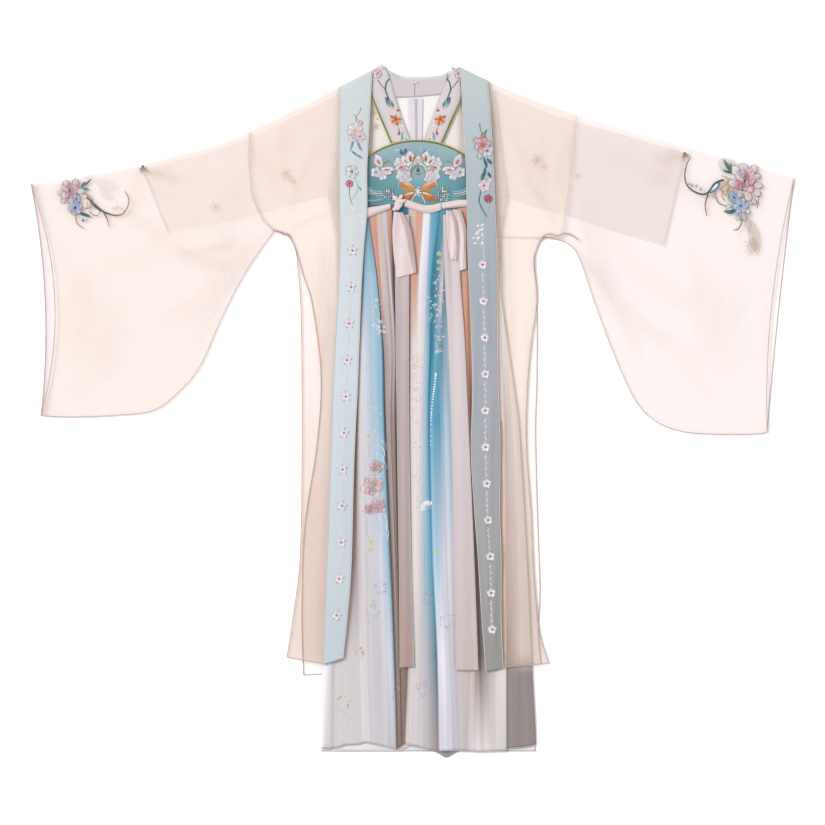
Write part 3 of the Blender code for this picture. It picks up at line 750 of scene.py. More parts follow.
def robe_sleeve(side):
    table = ROBE_SLEEVE[side]
    last = len(table) - 1
    seam = ARMHOLE[side]
    outward = -1.2 if side == "left" else 1.2

    def place(u, v):
        angle = 2 * math.pi * u
        share = 0.5 - 0.5 * math.cos(angle)
        x0, y0, x1, y1, front_bow, back_bow = row_at(table, v)
        bow = front_bow if u < 0.5 else back_bow
        x = mix(x0, x1, share) + 4.0 * bow * share * (1.0 - share)
        y = mix(y0, y1, share)
        seam_x, seam_y = at_share(seam, share)
        straight_x, straight_y = mix(seam[0][1], seam[-1][1], share), mix(seam[0][2], seam[-1][2],
                                                                          share)
        near = eased(v, (last - 1.6) / last, 1.0)
        x += near * (seam_x - straight_x) + outward * near
        y += near * (seam_y - straight_y)
        depth = abs(math.sin(angle)) ** 0.4
        return x, y, 2.9 + (2.7 if u < 0.5 else -2.5) * depth

    def dye_and_painted_light(u, v, x, y, gather_and_shade):
        # Darker in the creases and along the folded edges at the top and foot: partly the cloth doubled
        # there, partly painted shade.
        warm = 0.35 * eased(abs(2 * (u % 0.5) - 0.5), 0.42, 0.5)
        ground = PEACH if side == "left" else PEACH_RIGHT
        if u > 0.5 and side == "left":
            ground = blend(CUFF_LINING, ground, eased(v, 0.0, 0.08))
        return blend(ground, PEACH_FOLD_SHADE, min(1.0, gather_and_shade * 1.8 + warm * 0.3))

    def cover(u, v, x, y):
        inside = u > 0.5 and side == "left"
        return 0.115 + (0.13 * (1.0 - eased(v, 0.0, 0.07)) if inside else 0.0)

    sleeve = tube_cloth(f"robe_sleeve_{side}", CHIFFON, 200, 84, place, dye_and_painted_light, cover,
                        SLEEVE_CREASES[side])
    keep(sleeve, f"robe_sleeve_{side}", slot="peach_chiffon")
    cuff = edge(place, down=0.0, start=0.0, end=0.5)
    cuff_back = edge(place, down=0.0, start=0.5, end=1.0)
    foot = edge(place, across=0.5)
    hems = keep(cords(f"robe_sleeve_hems_{side}", PEACH_HEM, [cuff, cuff_back, foot], 0.8))
    seam_runs = []
    for shift in (0.2, 3.2):
        run = []
        for k in range(41):
            x, y = at_share(seam, k / 40)
            x += math.copysign(shift, x)
            z = height_on([f"robe_sleeve_{side}"], x + math.copysign(1.5, x), y, 5.4)
            run.append((x, y, max(z, 4.6) + 0.2))
        seam_runs.append(run)
    seams = keep(cords(f"robe_armhole_seam_{side}", TAN_SEAM, seam_runs, 0.38))


UNDERARM = {
    "left": ((-279, 361), (-268, 359), (-258, 352), (-249, 353), (-243, 344)),
    "right": ((256, 338), (263, 350), (276, 354), (290, 350), (304, 355), (318, 352), (330, 343)),
}


def robe_trims():
    """The rolled gathers under the arms and the rust seam that shows along the right band."""
    for side, points in UNDERARM.items():
        count = 12 * (len(points) - 1)
        run = []
        for k in range(count + 1):
            x, y = row_at(points, k / count)
            run.append((x, y + 0.9 * math.sin(1.9 * k), height_on([f"robe_front_{side}",
                                                                   f"robe_sleeve_{side}"],
                                                                    x, y, 5.4) + 0.5))
        keep(cords(f"robe_underarm_{side}", RUST_SEAM, [run], 0.9))
    run = []
    for k in range(81):
        y = mix(-20, -500, k / 80)
        x = band_point("right", 0.0, y) + 3.4 + 0.8 * math.sin(0.31 * k)
        run.append((x, y, height_on(["robe_front_right", "robe_band_right"], x, y, 10.0) + 0.2))
    keep(cords("robe_band_seam_right", RUST_SEAM, [run], 0.7))


ARM_SHARE = 0.26
FRONT_HEIGHTS = ((0.0, 10.2, 10.2), (0.4, 9.0, 9.8), (0.8, 6.8, 7.8), (0.95, 5.9, 4.8), (1.0, 5.6, 2.4))
FRONT_CREASES = {
    "left": (
        (-183, 380, -184, 40, 3, 5, 3.0, 0.25),
        (-166, 350, -172, 120, -2, 6, 3.2, 0.02),
        (-262, 372, -176, 560, 12, 12, 3.4, 0.08),
        (-255, 360, -165, 400, 6, 7, 2.6, 0.14),
        (-200, 640, -300, 470, 6, 15, 3.0, 0.06),
        (-180, -60, -200, -500, 6, 9, 2.6, 0.10),
        (-205, 60, -214, -330, -5, 7, 2.0, 0.08),
        (-232, -260, -240, -500, 4, 7, 1.6, 0.05),
    ),
    "right": (
        (170, 430, 190, 90, -4, 6, 3.4, 0.02),
        (186, 420, 205, 60, -3, 6, 3.0, 0.22),
        (225, 560, 275, 380, -10, 12, 3.4, 0.08),
        (180, 600, 250, 440, 8, 10, 3.0, 0.10),
        (290, 352, 205, 470, -8, 8, 2.8, 0.14),
        (205, -40, 215, -480, -6, 9, 2.6, 0.10),
        (186, -120, 196, -500, 4, 7, 2.2, 0.12),
        (236, -240, 248, -490, 4, 8, 1.8, 0.05),
    ),
}


def front_row(side, v):
    """Inner x, y and outer x, y across a robe front at a share of its length."""
    if v < ARM_SHARE:
        return at_share(FRONT_ARM[side], v / ARM_SHARE) + at_share(ARMHOLE[side], v / ARM_SHARE)
    corner = at_share(FRONT_ARM[side], 1.0) + at_share(ARMHOLE[side], 1.0)
    return row_at([corner, *FRONT_SIDE[side]], (v - ARM_SHARE) / (1.0 - ARM_SHARE))


def robe_front(side):
    start = 0.35 if side == "left" else 0.60

    def place(u, v):
        x0, y0, x1, y1 = front_row(side, v)
        arm, open_side = at_share(FRONT_HEIGHTS, u)
        z = mix(arm, open_side, eased(v, ARM_SHARE, ARM_SHARE + 0.06))
        z = mix(2.2, z, eased(v, -0.004, 0.035))
        return mix(x0, x1, u), mix(y0, y1, u), z

    def dye_and_painted_light(u, v, x, y, gather_and_shade):
        low = eased(v, start, 1.0)
        foot = seen(226, 184, 162) if side == "left" else seen(226, 196, 178)
        # Darker towards the foot; in the creases partly the cloth doubled up, partly painted shade.
        return blend(blend(PEACH_BODY, foot, low), PEACH_FOLD_SHADE, min(1.0, gather_and_shade * 1.6))

    def cover(u, v, x, y):
        return 0.105 + 0.10 * eased(v, start, 1.0)

    name = f"robe_front_{side}"
    front = cloth(name, CHIFFON, 56, 220, place, dye_and_painted_light, cover, FRONT_CREASES[side])
    keep(front, name, slot="peach_chiffon")
    shift = edge(place, across=1.0, start=ARM_SHARE, count=120)
    hem = edge(place, down=1.0, count=30)
    hems = keep(cords(f"robe_front_hems_{side}", PEACH_HEM, [shift, hem], 0.9))


def robe_back():
    left, right = ARMHOLE["left"], ARMHOLE["right"]
    arms = [(x0, y0, x1, y1) for (_, x0, y0), (_, x1, y1) in zip(left, right)]
    rows = [*ROBE_YOKE, *arms, *ROBE_BACK_SKIRT]
    corner = len(ROBE_YOKE) + len(arms) - 1

    def place(u, v):
        x0, y0, x1, y1 = cornered(rows, corner, v)
        return mix(x0, x1, u), mix(y0, y1, u), ROBE_BACK_Z + 0.7

    creases = (
        (-205, 200, -200, -300, 4, 6, 0.9, 0.12),
        (240, 240, 238, -260, -4, 6, 0.9, 0.12),
    )

    def dye_and_painted_light(u, v, x, y, gather_and_shade):
        # Darker in the creases: partly the cloth doubled up, partly painted shade.
        return blend(PEACH_BODY, PEACH_FOLD_SHADE, min(1.0, gather_and_shade * 1.6))

    back = cloth("robe_back", CHIFFON, 90, 200, place, dye_and_painted_light, 0.10, creases)
    keep(back, "robe_back", slot="peach_chiffon")
    start = corner / (len(rows) - 1)
    runs = [edge(place, across=0.0, start=start, count=120), edge(place, across=1.0, start=start,
                                                                  count=120),
            edge(place, down=1.0, count=60)]
    hems = keep(cords("robe_back_hems", PEACH_HEM, runs, 0.8))


# Tones of the bands from the neck down. The left band's are its colour as lit from the left; the right
# band's are darker and greyer, painted shade that deepens towards the bottom.
BAND_LEFT_LIT_TONES = (seen(203, 210, 211), seen(207, 214, 217), seen(210, 217, 221), seen(210, 218, 225),
                  seen(203, 210, 218), seen(194, 204, 212))
BAND_RIGHT_SHADED_TONES = (seen(198, 205, 206), seen(182, 193, 198), seen(168, 177, 185), seen(167, 169, 178),
                   seen(162, 161, 163), seen(148, 146, 142))


def band_row(side, v):
    return row_at(ROBE_BAND[side], v)


def robe_band(side):
    band_tones = BAND_LEFT_LIT_TONES if side == "left" else BAND_RIGHT_SHADED_TONES
    flare = 0.0 if side == "left" else 1.0

    def place(u, v):
        x0, y0, x1, y1, z = band_row(side, v)
        wave = flare * 2.4 * eased(v, 0.55, 1.0) * math.sin(13.0 * v + 0.6) * u
        rise = 0.8 * math.sin(math.pi * u) ** 0.7 + 0.5 * math.sin(9 * v + 2.0) * u * (1 - u)
        return mix(x0, x1, u) + wave, mix(y0, y1, u), z + 1.2 + rise

    def dye_and_painted_light(u, v, x, y, gather_and_shade):
        colour = tuple(row_at(band_tones, v))
        # Painted shade along the seam and the free edge, and where creases bunch the band.
        seam_shade = 0.10 * (1 - eased(u, 0.0, 0.10)) + 0.05 * eased(u, 0.86, 1.0)
        return blend(colour, seen(120, 134, 140), seam_shade + min(0.3, gather_and_shade))

    creases = {
        "left": ((-120, 590, -116, 200, 3, 9, 0.7, 0.03), (-130, 60, -140, -360, -3, 9, 0.8, 0.04)),
        "right": (
            (140, 420, 150, 60, 3, 6, 1.0, 0.06),
            (128, 250, 124, -60, -2, 5, 1.0, 0.07),
            (160, 60, 156, -240, -3, 6, 1.2, 0.08),
            (140, -180, 150, -420, 4, 5, 1.6, 0.14),
            (168, -260, 164, -500, -3, 6, 1.6, 0.12),
        ),
    }[side]
    name = f"robe_band_{side}"
    band = cloth(name, SATIN, 22, 260, place, dye_and_painted_light, 1.0, creases, wall=1.0)
    keep(band, name, slot="pale_blue_satin")
    free = edge(place, across=1.0, count=160)
    seam = edge(place, across=0.0, count=160, raise_by=0.2)
    piping = keep(cords(f"robe_band_edge_{side}", CREAM_EDGE, [free, seam], 0.7))


def robe_neck():
    def place(u, v):
        x, top, foot = row_at(ROBE_NECK, u)
        return x, mix(top, foot, v), SKIRT_BACK_Z + 0.8

    neck = cloth("robe_band_neck", SATIN, 40, 8, place, seen(213, 222, 223), wall=0.6)
    keep(neck, "robe_band_neck", slot="pale_blue_satin")


# ---------------------------------------------------------------- the inner top

CREAM_DYE = seen(255, 246, 240)
COLLAR_DYE = seen(222, 213, 214)


TOP_SLEEVE_CREASES = {
    "left": ((-530, 470, -420, 470, 6, 10, 0.3, 0.30), (-530, 466, -440, 430, -8, 12, 0.3, 0.25),
             (-330, 540, -260, 440, 8, 10, 0.3, 0.30), (-250, 580, -240, 440, -6, 8, 0.3, 0.25)),
    "right": ((540, 500, 470, 500, -4, 8, 0.3, 0.4), (536, 490, 470, 440, 6, 12, 0.3, 0.3),
              (330, 560, 300, 420, -8, 10, 0.3, 0.30), (260, 580, 270, 420, 6, 8, 0.3, 0.30)),
}


def top_sleeve(side):
    outward = -1.0 if side == "left" else 1.0
    shade = seen(246, 206, 186) if side == "left" else seen(226, 190, 172)
    veil, growth = (0.022, 0.5) if side == "left" else (0.04, -0.4)

    def place(u, v):
        angle = 2 * math.pi * u
        share = 0.5 - 0.5 * math.cos(angle)
        x0, y0, x1, y1 = row_at(TOP_SLEEVE[side], v)
        height = 1.1 * abs(math.sin(angle)) ** 0.5
        return mix(x0, x1, share) + outward, mix(y0, y1, share), 2.9 + (height if u < 0.5 else -height)

    def dye_and_painted_light(u, v, x, y, gather_and_shade):
        # Darker in the creases: partly the cloth doubled up, partly painted shade.
        return blend(shade, PEACH_FOLD_SHADE, min(1.0, gather_and_shade * 3.0))

    def cover(u, v, x, y):
        return veil * (1.0 + growth * eased(v, 0.4, 1.0))

    sleeve = tube_cloth(f"top_sleeve_{side}", CREAM, 90, 60, place, dye_and_painted_light, cover,
                        TOP_SLEEVE_CREASES[side], wall=0.3)
    keep(sleeve, f"top_sleeve_{side}", slot="cream_chiffon")
    cuff = edge(place, down=0.0)
    hems = keep(cords(f"top_sleeve_hems_{side}", SOFT_HEM, [cuff], 0.25 if side == "left" else 0.4))


def top_body():
    ends = [TOP_SLEEVE["left"][-1], TOP_SLEEVE["right"][-1]]
    rows = []
    for share in (0.0, 0.1, 0.45, 0.75, 1.0):
        (x0, y0, x1, y1), (x2, y2, x3, y3) = ends
        rows.append((mix(x0, x1, share), mix(y0, y1, share), mix(x2, x3, share), mix(y2, y3, share)))
    rows += [(x0, y, x1, y) for x0, x1, y in TOP_BODY]

    def place_back(u, v):
        x0, y0, x1, y1 = cornered(rows, len(rows) - 2, v)
        return mix(x0, x1, u), mix(y0, y1, u), TOP_BACK_Z + 0.7

    def cover_back(u, v, x, y):
        return 0.16 + 0.72 * eased(y, 505, 530) * (1.0 - eased(abs(x - 7), 48, 60))

    back = cloth("top_back", CREAM, 60, 80, place_back, seen(255, 251, 249), cover_back, wall=0.4)
    keep(back, "top_back", slot="cream_chiffon")

    necks = [row[1:] for row in TOP_NECK]
    for side, first, last in (("left", 0, 0), ("right", 2, 2)):
        middle = mix(necks[-1][0], necks[-1][2], 0.5)
        inner = [row[first:first + 2] for row in necks]
        inner += [(middle, y) for y in (520, 430, 350, 182)]
        outer = [row[last:last + 2] for row in rows]
        outer.insert(4, outer[4])
        table = [(*a, *b) for a, b in zip(inner, outer)]

        def place(u, v, table=table):
            x0, y0, x1, y1 = cornered(table, len(table) - 1, min(v, 0.9999))
            return mix(x0, x1, u), mix(y0, y1, u), TOP_FRONT_Z + 0.7

        def cover(u, v, x, y):
            return 0.16 + 0.60 * (1.0 - eased(abs(x - 8), 78, 92))

        front = cloth(f"top_front_{side}", CREAM, 30, 90, place, CREAM_DYE, cover, wall=0.4)
        keep(front, "top_front", slot="cream_chiffon")


def top_collar():
    for side, rows in TOP_COLLAR.items():
        def place(u, v, rows=rows):
            x0, y0, x1, y1 = row_at(rows, v)
            return mix(x0, x1, u), mix(y0, y1, u), CHEST_Z + 0.9 + 0.5 * math.sin(math.pi * u)

        def dye_and_painted_light(u, v, x, y, gather_and_shade):
            shade = 0.6 * (1 - eased(u, 0.0, 0.25)) + 0.3 * eased(v, 0.0, 0.3)
            return blend(COLLAR_DYE, seen(196, 186, 188), shade)

        name = f"top_collar_{side}"
        collar = cloth(name, SATIN, 14, 60, place, dye_and_painted_light, wall=0.6)
        keep(collar, name, slot="grey_pink_satin")
        rim = keep(cords(f"top_collar_edge_{side}", CREAM_EDGE, [edge(place, across=1.0)], 0.5))
        (x0, y0), (x1, y1) = PIPING_ENDS[side]
        for label, finish, shift, radius in (("piping", OLIVE, 0.0, 1.2),
                                             ("piping_edge", YELLOW, 1.7, 0.7)):
            out = -shift if side == "left" else shift
            run = [(mix(x0, x1, k / 12) + out, mix(y0, y1, k / 12), CHEST_Z + 1.3) for k in range(13)]
            cord = keep(cords(f"top_{label}_{side}", finish, [run], radius))
            if label == "piping":
                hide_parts(f"top_piping_{side}")
    for side, stations in TOP_COLLAR_BACK.items():
        def place_back(u, v, stations=stations):
            x, top, foot = row_at(stations, u)
            return x, mix(top, foot, v), TOP_FRONT_Z + 0.9

        name = f"top_collar_back_{side}"
        back = cloth(name, SATIN, 20, 10, place_back, seen(210, 200, 203), wall=0.5)
        keep(back, name, slot="grey_pink_satin")


def neck_fastening():
    def place(u, v):
        x0, x1 = mix(-9, -5, v), mix(21, 19, v)
        return mix(x0, x1, u), mix(624, 534,
                                   v), TOP_FRONT_Z + 0.8 + 0.5 * math.exp(-((u - 0.5) / 0.1) ** 2)

    def dye_and_painted_light(u, v, x, y, gather_and_shade):
        return blend(seen(228, 219, 228), seen(200, 190, 208), math.exp(-((u - 0.5) / 0.09) ** 2))

    zip_tape = cloth("top_zip", RIBBON, 24, 40, place, dye_and_painted_light, wall=0.5)
    keep(zip_tape, "top_zip", slot="lavender_tape")
    teeth = bmesh.new()
    for k in range(44):
        made = bmesh.ops.create_cube(teeth, size=1.0)
        sway = 0.5 if k % 2 else -0.5
        bmesh.ops.scale(teeth, vec=(1.6, 1.1, 0.8), verts=made["verts"])
        bmesh.ops.translate(teeth, vec=(6.8 + sway, 622 - 2 * k, TOP_FRONT_Z + 1.9),
                            verts=made["verts"])
    coil = keep(add_piece("zip_coil", teeth, TAPE, smooth_faces=False))

    button = bmesh.new()
    made = bmesh.ops.create_uvsphere(button, u_segments=20, v_segments=12, radius=1.0)
    bmesh.ops.scale(button, vec=(2.5, 2.5, 1.1), verts=made["verts"])
    bmesh.ops.translate(button, vec=(7, 657, CHEST_Z + 1.2), verts=button.verts)
    keep(add_piece("neck_button", button, PEARL), "neck_button", slot="white_button")
    loop = []
    for k in range(25):
        angle = math.radians(-60 + 300 * k / 24)
        loop.append((7 + 3.6 * math.cos(angle), 657 + 3.6 * math.sin(angle), CHEST_Z + 0.6))
    keep(cords("neck_loop", PEARL, [loop], 0.5), "neck_loop", slot="white_button")


# ---------------------------------------------------------------- the skirt

def chest_top(x):
    reach = CHEST_ARC_RADIUS ** 2 - (x - CHEST_ARC_CENTRE[0]) ** 2
    return max(CHEST_ARC_CENTRE[1] + math.sqrt(max(reach, 0.0)), CHEST_END_TOP)


def chest_band():
    def place(u, v):
        x = mix(CHEST_LEFT, CHEST_RIGHT, u)
        return x, mix(chest_top(x), CHEST_FOOT, v), CHEST_Z + CHEST_WALL + 0.6 * math.sin(math.pi * u)

    def dye_and_painted_light(u, v, x, y, gather_and_shade):
        down = eased(chest_top(x) - y, 0.0, 70.0)
        colour = blend(seen(150, 176, 182), seen(98, 150, 160), down)
        # A painted highlight lightens the middle of the band near its top.
        painted_highlight = math.exp(-((x - 11) / 42) ** 2 - ((y - 476) / 26) ** 2)
        colour = blend(colour, seen(160, 192, 198), 0.55 * painted_highlight)
        edge_shade = eased(abs(x - 11), 70.0, 100.0)
        return blend(colour, seen(66, 104, 112), 0.5 * edge_shade)

    front = cloth("skirt_band_front", BROCADE, 120, 50, place, dye_and_painted_light, wall=0.8)
    keep(front, "skirt_band_front", slot="teal_satin")
    runs = {"skirt_band_piping": (OLIVE, 1.7, 1.3), "skirt_band_piping_edge": (YELLOW, 3.8, 0.7)}
    for name, (finish, out, radius) in runs.items():
        reach = CHEST_ARC_RADIUS + out
        sweep = math.asin(118.0 / reach)
        points = []
        for k in range(49):
            angle = mix(-sweep, sweep, k / 48)
            points.append((CHEST_ARC_CENTRE[0] + reach * math.sin(angle),
                           CHEST_ARC_CENTRE[1] + reach * math.cos(angle), CHEST_Z + 1.6))
        keep(cords(name, finish, [points], radius))
    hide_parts("skirt_band_piping")

    def place_back(u, v):
        return mix(CHEST_LEFT, CHEST_RIGHT, u), mix(CHEST_END_TOP, CHEST_FOOT, v), SKIRT_BACK_Z + 0.8

    back = cloth("skirt_band_back", BROCADE, 60, 12, place_back, seen(98, 150, 160), wall=0.6)
    keep(back, "skirt_band_back", slot="teal_satin")


# Levels where the skirt's folds are charted: waist, hip, thigh, knee, calf, ankle and hem.
SKIRT_LEVELS = (407, 262, 122, -18, -298, -488, -674)
SKIRT_BASE = (7.3, 7.0, 5.2, 4.8, 4.8, 4.6, 3.8)
SKIRT_GAIN = (0.22, 0.42, 0.8, 0.95, 1.0, 1.0, 1.0)
# Colours of the skirt's folds. Brown and dark are painted shade in the recesses between pleats and
# where the pleats pack tightly; side is painted shade on the side panel below the robe's hem.
SKIRT_DYES_AND_SHADES = {
    "salmon": seen(214, 160, 140),
    "rust": seen(178, 128, 112),
    "beige": seen(208, 190, 182),
    "cream": seen(228, 218, 217),
    "white": seen(238, 234, 243),
    "lilac": seen(214, 212, 224),
    "mist": seen(204, 200, 205),
    "warm": seen(212, 205, 206),
    "sky": seen(172, 198, 216),
    "blue": seen(150, 188, 208),
    "azure": seen(112, 172, 196),
    "teal": seen(88, 154, 182),
    "deep": seen(52, 118, 144),
    "slate": seen(108, 140, 158),
    "grey": seen(196, 190, 195),
    "taupe": seen(168, 154, 152),
    "brown": seen(140, 120, 114),
    "dark": seen(96, 84, 84),
    "pale": seen(240, 230, 225),
    "veil": seen(246, 240, 238),
    "side": seen(148, 138, 136),
}
# Fold lines of the skirt's front from left to right: x at each level, height, colour at each level.
# Folds of little height are the recesses between pleats; the darker colours charted on them are painted
# shade.
SKIRT_FOLDS = (
    ((-142, -146, -150, -155, -171, -178, -183), -0.8, "veil veil veil veil veil white white"),
    ((-139, -142, -145, -150, -163, -171, -172), 2.2, "veil veil veil veil veil white mist"),
    ((-135, -139, -142, -145, -155, -160, -161), 2.5, "warm warm warm warm warm warm warm"),
    ((-131, -135, -138, -141, -151, -156, -157), 0.8, "taupe taupe taupe taupe taupe warm warm"),
    ((-112, -106, -110, -114, -112, -106, -100), 0.6, "taupe slate taupe brown taupe warm warm"),
    ((-105, -99, -104, -105, -101, -97, -91), 3.6, "slate slate lilac warm warm warm warm"),
    ((-100, -94, -97, -95, -91, -87, -81), 5.0, "slate blue lilac lilac mist mist mist"),
    ((-96, -84, -80, -76, -66, -62, -58), 4.3, "teal sky sky sky lilac mist mist"),
    ((-92, -76, -66, -62, -52, -48, -42), 4.9, "slate blue blue blue sky lilac grey"),
    ((-89, -72, -61, -57, -45, -38, -33), 5.4, "slate blue azure slate slate sky grey"),
    ((-87.5, -70, -58.5, -54.5, -42.5, -35.5, -30.5), 0.6, "rust dark dark dark brown brown brown"),
    ((-85, -68, -56, -52, -41, -34, -29.5), 2.0, "salmon salmon taupe taupe brown brown brown"),
    ((-73, -65, -53, -50, -39, -33, -29), 2.2, "salmon rust taupe taupe brown brown brown"),
    ((-71, -63, -51, -48, -37, -32, -28), 2.8, "beige beige taupe taupe taupe brown brown"),
    ((-61, -52, -43, -44, -35, -30.5, -27), 3.0, "beige beige beige taupe taupe taupe brown"),
    ((-59, -50, -41, -42, -34, -29.5, -26), 2.2, "lilac taupe taupe brown brown taupe brown"),
    ((-53, -44, -36, -38, -32, -28, -24.5), 2.6, "grey lilac grey taupe brown brown brown"),
    ((-51, -42, -34, -36, -31, -27, -23.5), 2.4, "salmon rust brown brown brown brown brown"),
    ((-43, -40, -32, -34, -29.5, -26, -22.5), 2.2, "salmon brown dark brown brown brown brown"),
    ((-40, -38, -30, -32, -28, -25, -21.5), 0.2, "dark dark dark dark brown brown brown"),
    ((-30, -28, -26, -27, -24, -23, -20), 0.4, "deep dark brown brown brown brown brown"),
    ((-12, -9, -10, -9, -8, -10, -16.5), 0.4, "deep dark brown brown brown brown brown"),
    ((-8, -6, -7, -7, -6.5, -9, -15), 0.6, "slate dark dark dark brown brown brown"),
    ((-6, -4.5, -5, -5, -4, -8, -13), 4.0, "beige salmon beige cream beige rust beige"),
    ((6, 6, 2, 0, 0, -4, -10), 4.6, "beige salmon cream cream cream warm warm"),
    ((8, 8, 4, 2, 2, -2, -8), 4.2, "salmon salmon cream cream cream warm warm"),
    ((21, 12, 10, 9, 9, 5, 0), 4.6, "salmon beige cream cream cream warm warm"),
    ((23, 14, 12, 11, 11, 8, 4), 4.8, "white white cream cream warm warm mist"),
    ((34, 27, 22, 20, 21, 19, 16), 4.6, "white lilac cream warm mist mist warm"),
    ((37, 30, 25, 23, 24, 24, 24), 4.0, "azure blue sky sky blue grey grey"),
    ((53, 36, 34, 31, 37, 46, 48), 3.4, "teal teal azure azure azure slate taupe"),
    ((54.5, 39.5, 36, 33.5, 40, 48.5, 52), 1.2, "deep deep deep deep azure slate taupe"),
    ((56.5, 43.5, 40, 37, 43, 51, 55), 4.4, "teal deep deep azure sky lilac mist"),
    ((60, 52, 46, 46, 52, 60, 64), 5.0, "teal slate azure teal sky white lilac"),
    ((64, 60, 52, 54, 62, 70, 75), 4.6, "teal cream teal teal lilac lilac lilac"),
    ((67, 63, 60, 64, 70, 78, 85), 3.4, "slate slate slate sky lilac mist grey"),
    ((70, 68, 70, 77, 82, 86, 95), 3.0, "slate slate sky sky lilac grey grey"),
    ((88, 93, 100, 108, 114, 118, 110), 2.2, "slate grey beige beige beige beige grey"),
    ((98, 97, 104, 111, 122, 128, 128), 4.0, "salmon salmon salmon beige brown brown cream"),
    ((108, 108, 109, 114, 125, 131, 137), 4.4, "salmon salmon salmon rust brown brown cream"),
    ((110, 111, 113, 118, 128, 135, 143), 2.8, "salmon rust rust dark dark dark cream"),
    ((136, 142, 149, 154, 160, 166, 166), 2.6, "pale pale pale pale grey warm warm"),
    ((148, 160, 173, 182, 185, 186, 187), 3.4, "veil veil veil pale pale pale warm"),
    ((154, 166, 180, 187, 189, 190, 191), 0.8, "veil veil pale grey grey side side"),
    ((157, 169, 186, 201, 212, 216, 222), 0.4, "veil veil pale pale pale pale side"),
    ((160, 172, 192, 212, 229, 238, 247), -0.8, "veil veil veil pale pale pale side"),
)
# Height of the hem along the skirt: x, y.
SKIRT_HEM = ((-183, -674), (-150, -673), (-136, -667), (-106, -666), (-95, -661), (-60, -668),
             (-33, -676),
             (-28, -674), (-15, -665), (10, -669), (29, -676), (50, -679), (90, -678), (140, -680),
             (187, -678),
             (192, -674), (220, -672), (247, -667))


# Rows of the skirt front's mesh, which with its columns make under 200,000 triangles.
SKIRT_ROWS = 210


def skirt_columns():
    """Where the grid's columns fall among the fold lines: fold, share of the way to the next."""
    columns = []
    for k, (first, second) in enumerate(zip(SKIRT_FOLDS, SKIRT_FOLDS[1:])):
        widest = max(b - a for a, b in zip(first[0], second[0]))
        parts = max(2, round(widest / 2.6))
        columns += [(k, step / parts) for step in range(parts)]
    return [*columns, (len(SKIRT_FOLDS) - 1, 0.0)]


def skirt_front():
    random.seed(7)
    columns = skirt_columns()
    last = len(columns) - 1
    ripple = [[random.uniform(-1, 1) for _ in range(9)] for _ in columns]
    levels = len(SKIRT_LEVELS) - 1

    def level_at(y):
        for k in range(levels):
            if y >= SKIRT_LEVELS[k + 1]:
                return k + (SKIRT_LEVELS[k] - y) / (SKIRT_LEVELS[k] - SKIRT_LEVELS[k + 1])
        return float(levels)

    def fold_at(k, level):
        xs, lift, _ = SKIRT_FOLDS[min(k, len(SKIRT_FOLDS) - 1)]
        return smooth(xs, level), lift

    def place(u, v):
        column = round(u * last)
        k, share = columns[column]
        y = mix(SKIRT_LEVELS[0], SKIRT_LEVELS[-1], v)
        level = level_at(y)
        x0, lift0 = fold_at(k, level)
        x1, lift1 = fold_at(k + 1, level)
        x = mix(x0, x1, share)
        lift = mix(lift0, lift1, eased(share))
        base, gain = smooth(SKIRT_BASE, level), smooth(SKIRT_GAIN, level)
        wide = eased(x1 - x0, 4.0, 12.0)
        fine = wide * smooth(ripple[column], v * 8) * (0.14 + 0.12 * v)
        swell = wide * 0.8 * math.sin(math.pi * share) if x1 - x0 < 60 else 0.0
        if v > 0.9:
            y += (at_share(SKIRT_HEM, x)[0] - SKIRT_LEVELS[-1]) * eased(v, 0.9, 1.0)
        return x, y, base + gain * (lift + swell) + fine

    def dye_and_painted_light(u, v, x, y, gather_and_shade):
        k, share = columns[round(u * last)]
        level = level_at(mix(SKIRT_LEVELS[0], SKIRT_LEVELS[-1], v))
        step = min(int(level), levels - 1)
        shades = []
        for fold in (k, min(k + 1, len(SKIRT_FOLDS) - 1)):
            names = SKIRT_FOLDS[fold][2].split()
            shades.append(blend(SKIRT_DYES_AND_SHADES[names[step]], SKIRT_DYES_AND_SHADES[names[step + 1]], level - step))
        side_shade = eased(x, 186.0, 190.0) * eased(-y, 480.0, 530.0)
        return blend(blend(shades[0], shades[1], share), SKIRT_DYES_AND_SHADES["side"], side_shade)

    front = cloth("skirt_front", SKIRT, last, SKIRT_ROWS, place, dye_and_painted_light)
    keep(front, "skirt_front", slot="blue_chiffon")
    hem = keep(cords("skirt_front_hem", BLUE_HEM, [edge(place, down=1.0, count=last)], 0.7))


SKIRT_BACK = (
    (407, 1.3, -142, 160),
    (262, 1.3, -146, 172),
    (-18, 1.3, -155, 212),
    (-298, 1.3, -171, 229),
    (-545, 1.3, -182, 241),
    (-585, 0.1, -183, 243),
    (-680, 0.1, -183, 247),
)
LINING = (
    (407, 5.2, -132, 146),
    (172, 5.2, -140, 164),
    (122, 2.6, -143, 170),
    (-298, 2.6, -156, 176),
    (-545, 2.6, -160, 178),
    (-585, 1.4, -161, 178),
)
LINING_HEM = ((-162, -681), (-25, -681), (30, -652), (70, -624), (178, -622))


